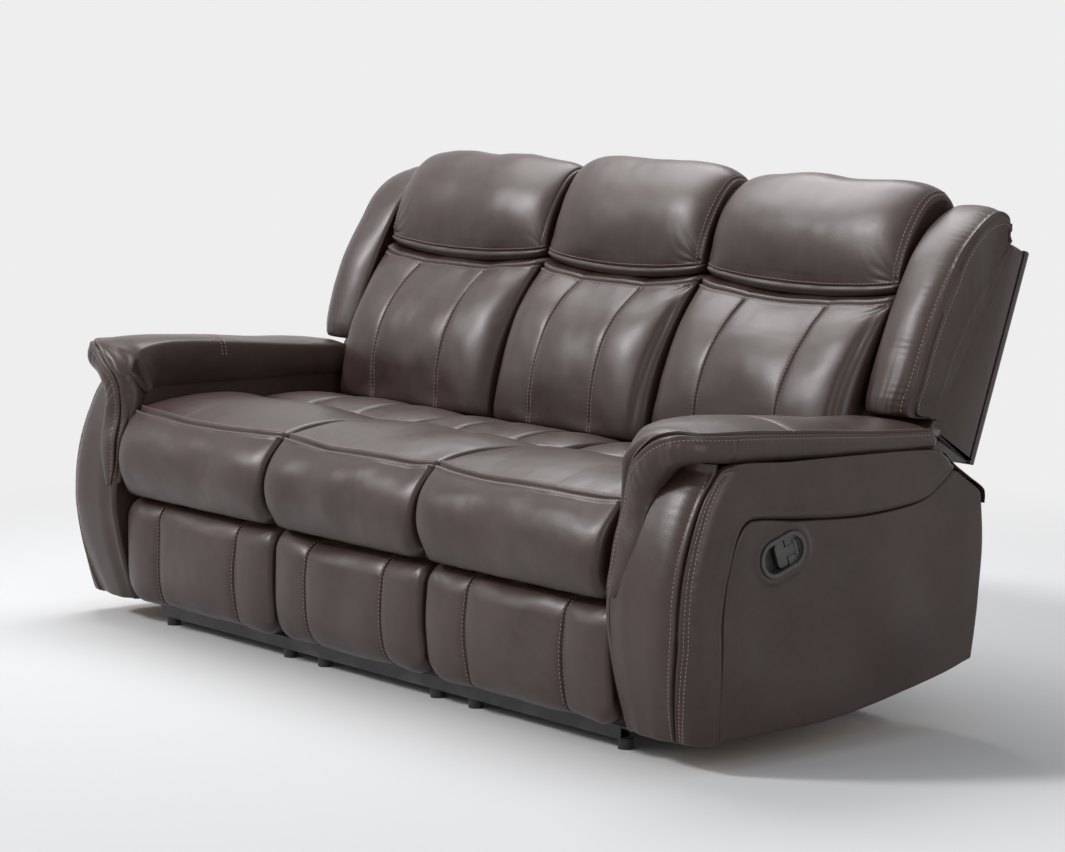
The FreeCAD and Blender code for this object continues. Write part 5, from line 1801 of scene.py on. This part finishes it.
    def inner_face(self, shape: Shape) -> None:
        """The padded inner face of the arm, below the pad."""
        path = Path.along(self.outline, 0, len(self.outline.knots), 5.0)
        rows = graded(path.length, [], 7.0, 3.0, 6.0)[:-1]
        thick = 14.0
        across = np.concatenate([[0.0], np.linspace(0.5, thick, 8)])
        flat = path.at(path.mark(rows))
        centre = flat.mean(axis=0)
        grid = np.zeros((len(rows), len(across), 3))
        for j, depth in enumerate(across):
            inset = turned_edge(np.array([depth]), 9.0)[0]
            toward = centre - flat
            toward /= np.linalg.norm(toward, axis=1, keepdims=True)
            grid[:, j, 0] = 828.0 + depth
            grid[:, j, 1:] = flat + toward * inset
        shape.ring(grid)


class Studio:
    """The camera, the floor, the lamps and the pale background of the photograph."""

    target = Vector((0.011, 0.019, 0.487))
    azimuth = 51.46
    elevation = 7.22
    roll = 0.41
    distance = 6.924
    lens = 114.46

    def camera(self) -> None:
        """Stand the camera at the photograph's angle."""
        a, e, r = (math.radians(v) for v in (self.azimuth, self.elevation, self.roll))
        back = Vector((math.sin(a) * math.cos(e), -math.cos(a) * math.cos(e), math.sin(e)))
        right = Vector((0, 0, 1)).cross(back).normalized()
        up = back.cross(right).normalized()
        side = right * math.cos(r) + up * math.sin(r)
        top = up * math.cos(r) - right * math.sin(r)
        data = bpy.data.cameras.new("camera")
        data.lens = self.lens
        data.sensor_width = 36.0
        data.clip_end = 60.0
        camera = placed("camera", data)
        place = self.target + back * self.distance
        turn = Matrix((side, top, back)).transposed().to_4x4()
        camera.matrix_world = Matrix.Translation(place) @ turn
        bpy.context.scene.camera = camera

    def lamp(self, name: str, place: tuple, size: tuple, power: float, aim: tuple = (0, 0, 0.45)) -> None:
        """Hang one soft box that looks at a point."""
        data = bpy.data.lights.new(name, "AREA")
        data.shape = "RECTANGLE"
        data.size, data.size_y = size
        data.energy = power
        lamp = placed(name, data)
        lamp.location = place
        lamp.rotation_euler = (Vector(aim) - Vector(place)).to_track_quat("-Z", "Y").to_euler()

    def lamps(self) -> None:
        """Hang the soft boxes."""
        self.lamp("front", (-0.9, -4.3, 2.7), (2.4, 1.8), 38.0)
        self.lamp("top", (-1.2, 0.4, 3.1), (2.4, 1.8), 88.0)
        self.lamp("side", (4.4, -1.4, 1.9), (1.4, 2.2), 30.0)
        sun = bpy.data.lights.new("key", "SUN")
        sun.energy = 1.75
        sun.angle = math.radians(9.0)
        key = placed("key", sun)
        key.rotation_euler = Vector((0.51, 0.64, -0.58)).to_track_quat("-Z", "Y").to_euler()

    def world(self) -> None:
        """A soft grey surround that looks pale to the camera and to reflections."""
        world = bpy.data.worlds.new("surround")
        bpy.context.scene.world = world
        world.use_nodes = True
        tree = world.node_tree
        tree.nodes.clear()
        seen = tree.nodes.new("ShaderNodeBackground")
        seen.inputs["Color"].default_value = PALE
        lit = tree.nodes.new("ShaderNodeBackground")
        lit.inputs["Color"].default_value = (0.93, 0.95, 1.0, 1)
        lit.inputs["Strength"].default_value = 0.42
        rays = tree.nodes.new("ShaderNodeLightPath")
        mix = tree.nodes.new("ShaderNodeMixShader")
        end = tree.nodes.new("ShaderNodeOutputWorld")
        total = rays.outputs["Is Camera Ray"]
        for kind in ("Is Glossy Ray", "Is Transmission Ray"):
            both = tree.nodes.new("ShaderNodeMath")
            both.operation = "MAXIMUM"
            tree.links.new(total, both.inputs[0])
            tree.links.new(rays.outputs[kind], both.inputs[1])
            total = both.outputs[0]
        tree.links.new(total, mix.inputs[0])
        tree.links.new(lit.outputs[0], mix.inputs[1])
        tree.links.new(seen.outputs[0], mix.inputs[2])
        tree.links.new(mix.outputs[0], end.inputs[0])

    def floor(self) -> None:
        """A plain pale floor that fades into the background."""
        mesh = bpy.data.meshes.new("floor")
        reach = 14.0
        corners = [(-reach, -reach, 0), (reach, -reach, 0), (reach, reach, 0), (-reach, reach, 0)]
        mesh.from_pydata(corners, [], [(0, 1, 2, 3)])
        floor = placed("floor", mesh)
        bench = NodeBench("pale_floor")
        at = bench.places()
        length = bench.make("ShaderNodeVectorMath", {"operation": "LENGTH"}, {0: at}, "Value")
        far = length.between(1.4, 3.0)
        paint = bench.make("ShaderNodeBsdfDiffuse", {}, {"Color": (0.64, 0.64, 0.64, 1)})
        glow = bench.make("ShaderNodeEmission", {}, {"Color": PALE})
        rays = bench.make("ShaderNodeLightPath", {}, {}, "Is Camera Ray")
        for kind in ("Is Glossy Ray", "Is Transmission Ray"):
            other = bench.make("ShaderNodeLightPath", {}, {}, kind)
            rays = bench.make("ShaderNodeMath", {"operation": "MAXIMUM"}, {0: rays, 1: other})
        blend = bench.make("ShaderNodeMixShader", {}, {0: far * rays, 1: paint, 2: glow})
        bench.tree.links.new(blend.socket, bench.output.inputs["Surface"])
        mesh.materials.append(bench.material)

    def build(self) -> None:
        """Set the studio up."""
        self.camera()
        self.lamps()
        self.world()
        self.floor()
        bpy.context.scene.view_settings.view_transform = "Standard"


NODE_FINISHES = (
    ("arm_frame", Finish.TIMBER), ("back_frame", Finish.TIMBER), ("seat_frame", Finish.TIMBER),
    ("front_board", Finish.PLYWOOD), ("footrest_board", Finish.PLYWOOD), ("springs", Finish.SPRING_STEEL),
    ("base_frame", Finish.FRAME_STEEL), ("rivets", Finish.BRIGHT_STEEL), ("latch_pins", Finish.BRIGHT_STEEL),
    ("glide_feet", Finish.BLACK_PLASTIC), ("bezel", Finish.LATCH_PLASTIC), ("lever", Finish.LATCH_PLASTIC),
    ("links", Finish.LINKAGE_STEEL), ("plates", Finish.LINKAGE_STEEL), ("brackets", Finish.LINKAGE_STEEL),
)


def finish_nodes(shop: Workshop) -> None:
    """Give every CAD node that stays seen the material of its slot."""
    for name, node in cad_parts.items():
        finish = next((found for key, found in NODE_FINISHES if key in name), Finish.BROWN_LEATHER)
        node.data.materials.clear()
        node.data.materials.append(shop.materials[finish])


def stitch(shop: Workshop) -> None:
    """Lay the stitches of every body."""
    stitching = Stitching(shop.materials[Finish.YARN])
    for body, rows in sorted(shop.rows.items()):
        piece = stitching.lay(f"Stitching_{body}", rows, STITCH_PITCH, STITCH_LENGTH, STITCH_WIDTH)
        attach(piece, body)
        LOG.info("%s: %d faces", piece.name, len(piece.data.polygons))


def main() -> None:
    """Dress the sofa and set the studio up."""
    logging.basicConfig(level=logging.INFO, format="%(name)s %(message)s")
    shop = Workshop()
    finish_nodes(shop)
    Studio().build()
    units = [
        Unit("middle", 0.0, MIDDLE_SEAT_HALF, 1),
        Unit("right", END_SEAT_CENTRE, END_SEAT_HALF, 2),
        Unit("left", END_SEAT_CENTRE, END_SEAT_HALF, 3, True),
    ]
    for unit in units:
        for kind in (SeatCushion, FootrestPad, LumbarCushion, Headrest, BackShell):
            kind(unit, shop).build()
        if unit.name != "middle":
            Wing(unit, shop).build()
            Arm(unit, shop).build()
    stitch(shop)


if __name__ == "__main__":
    main()
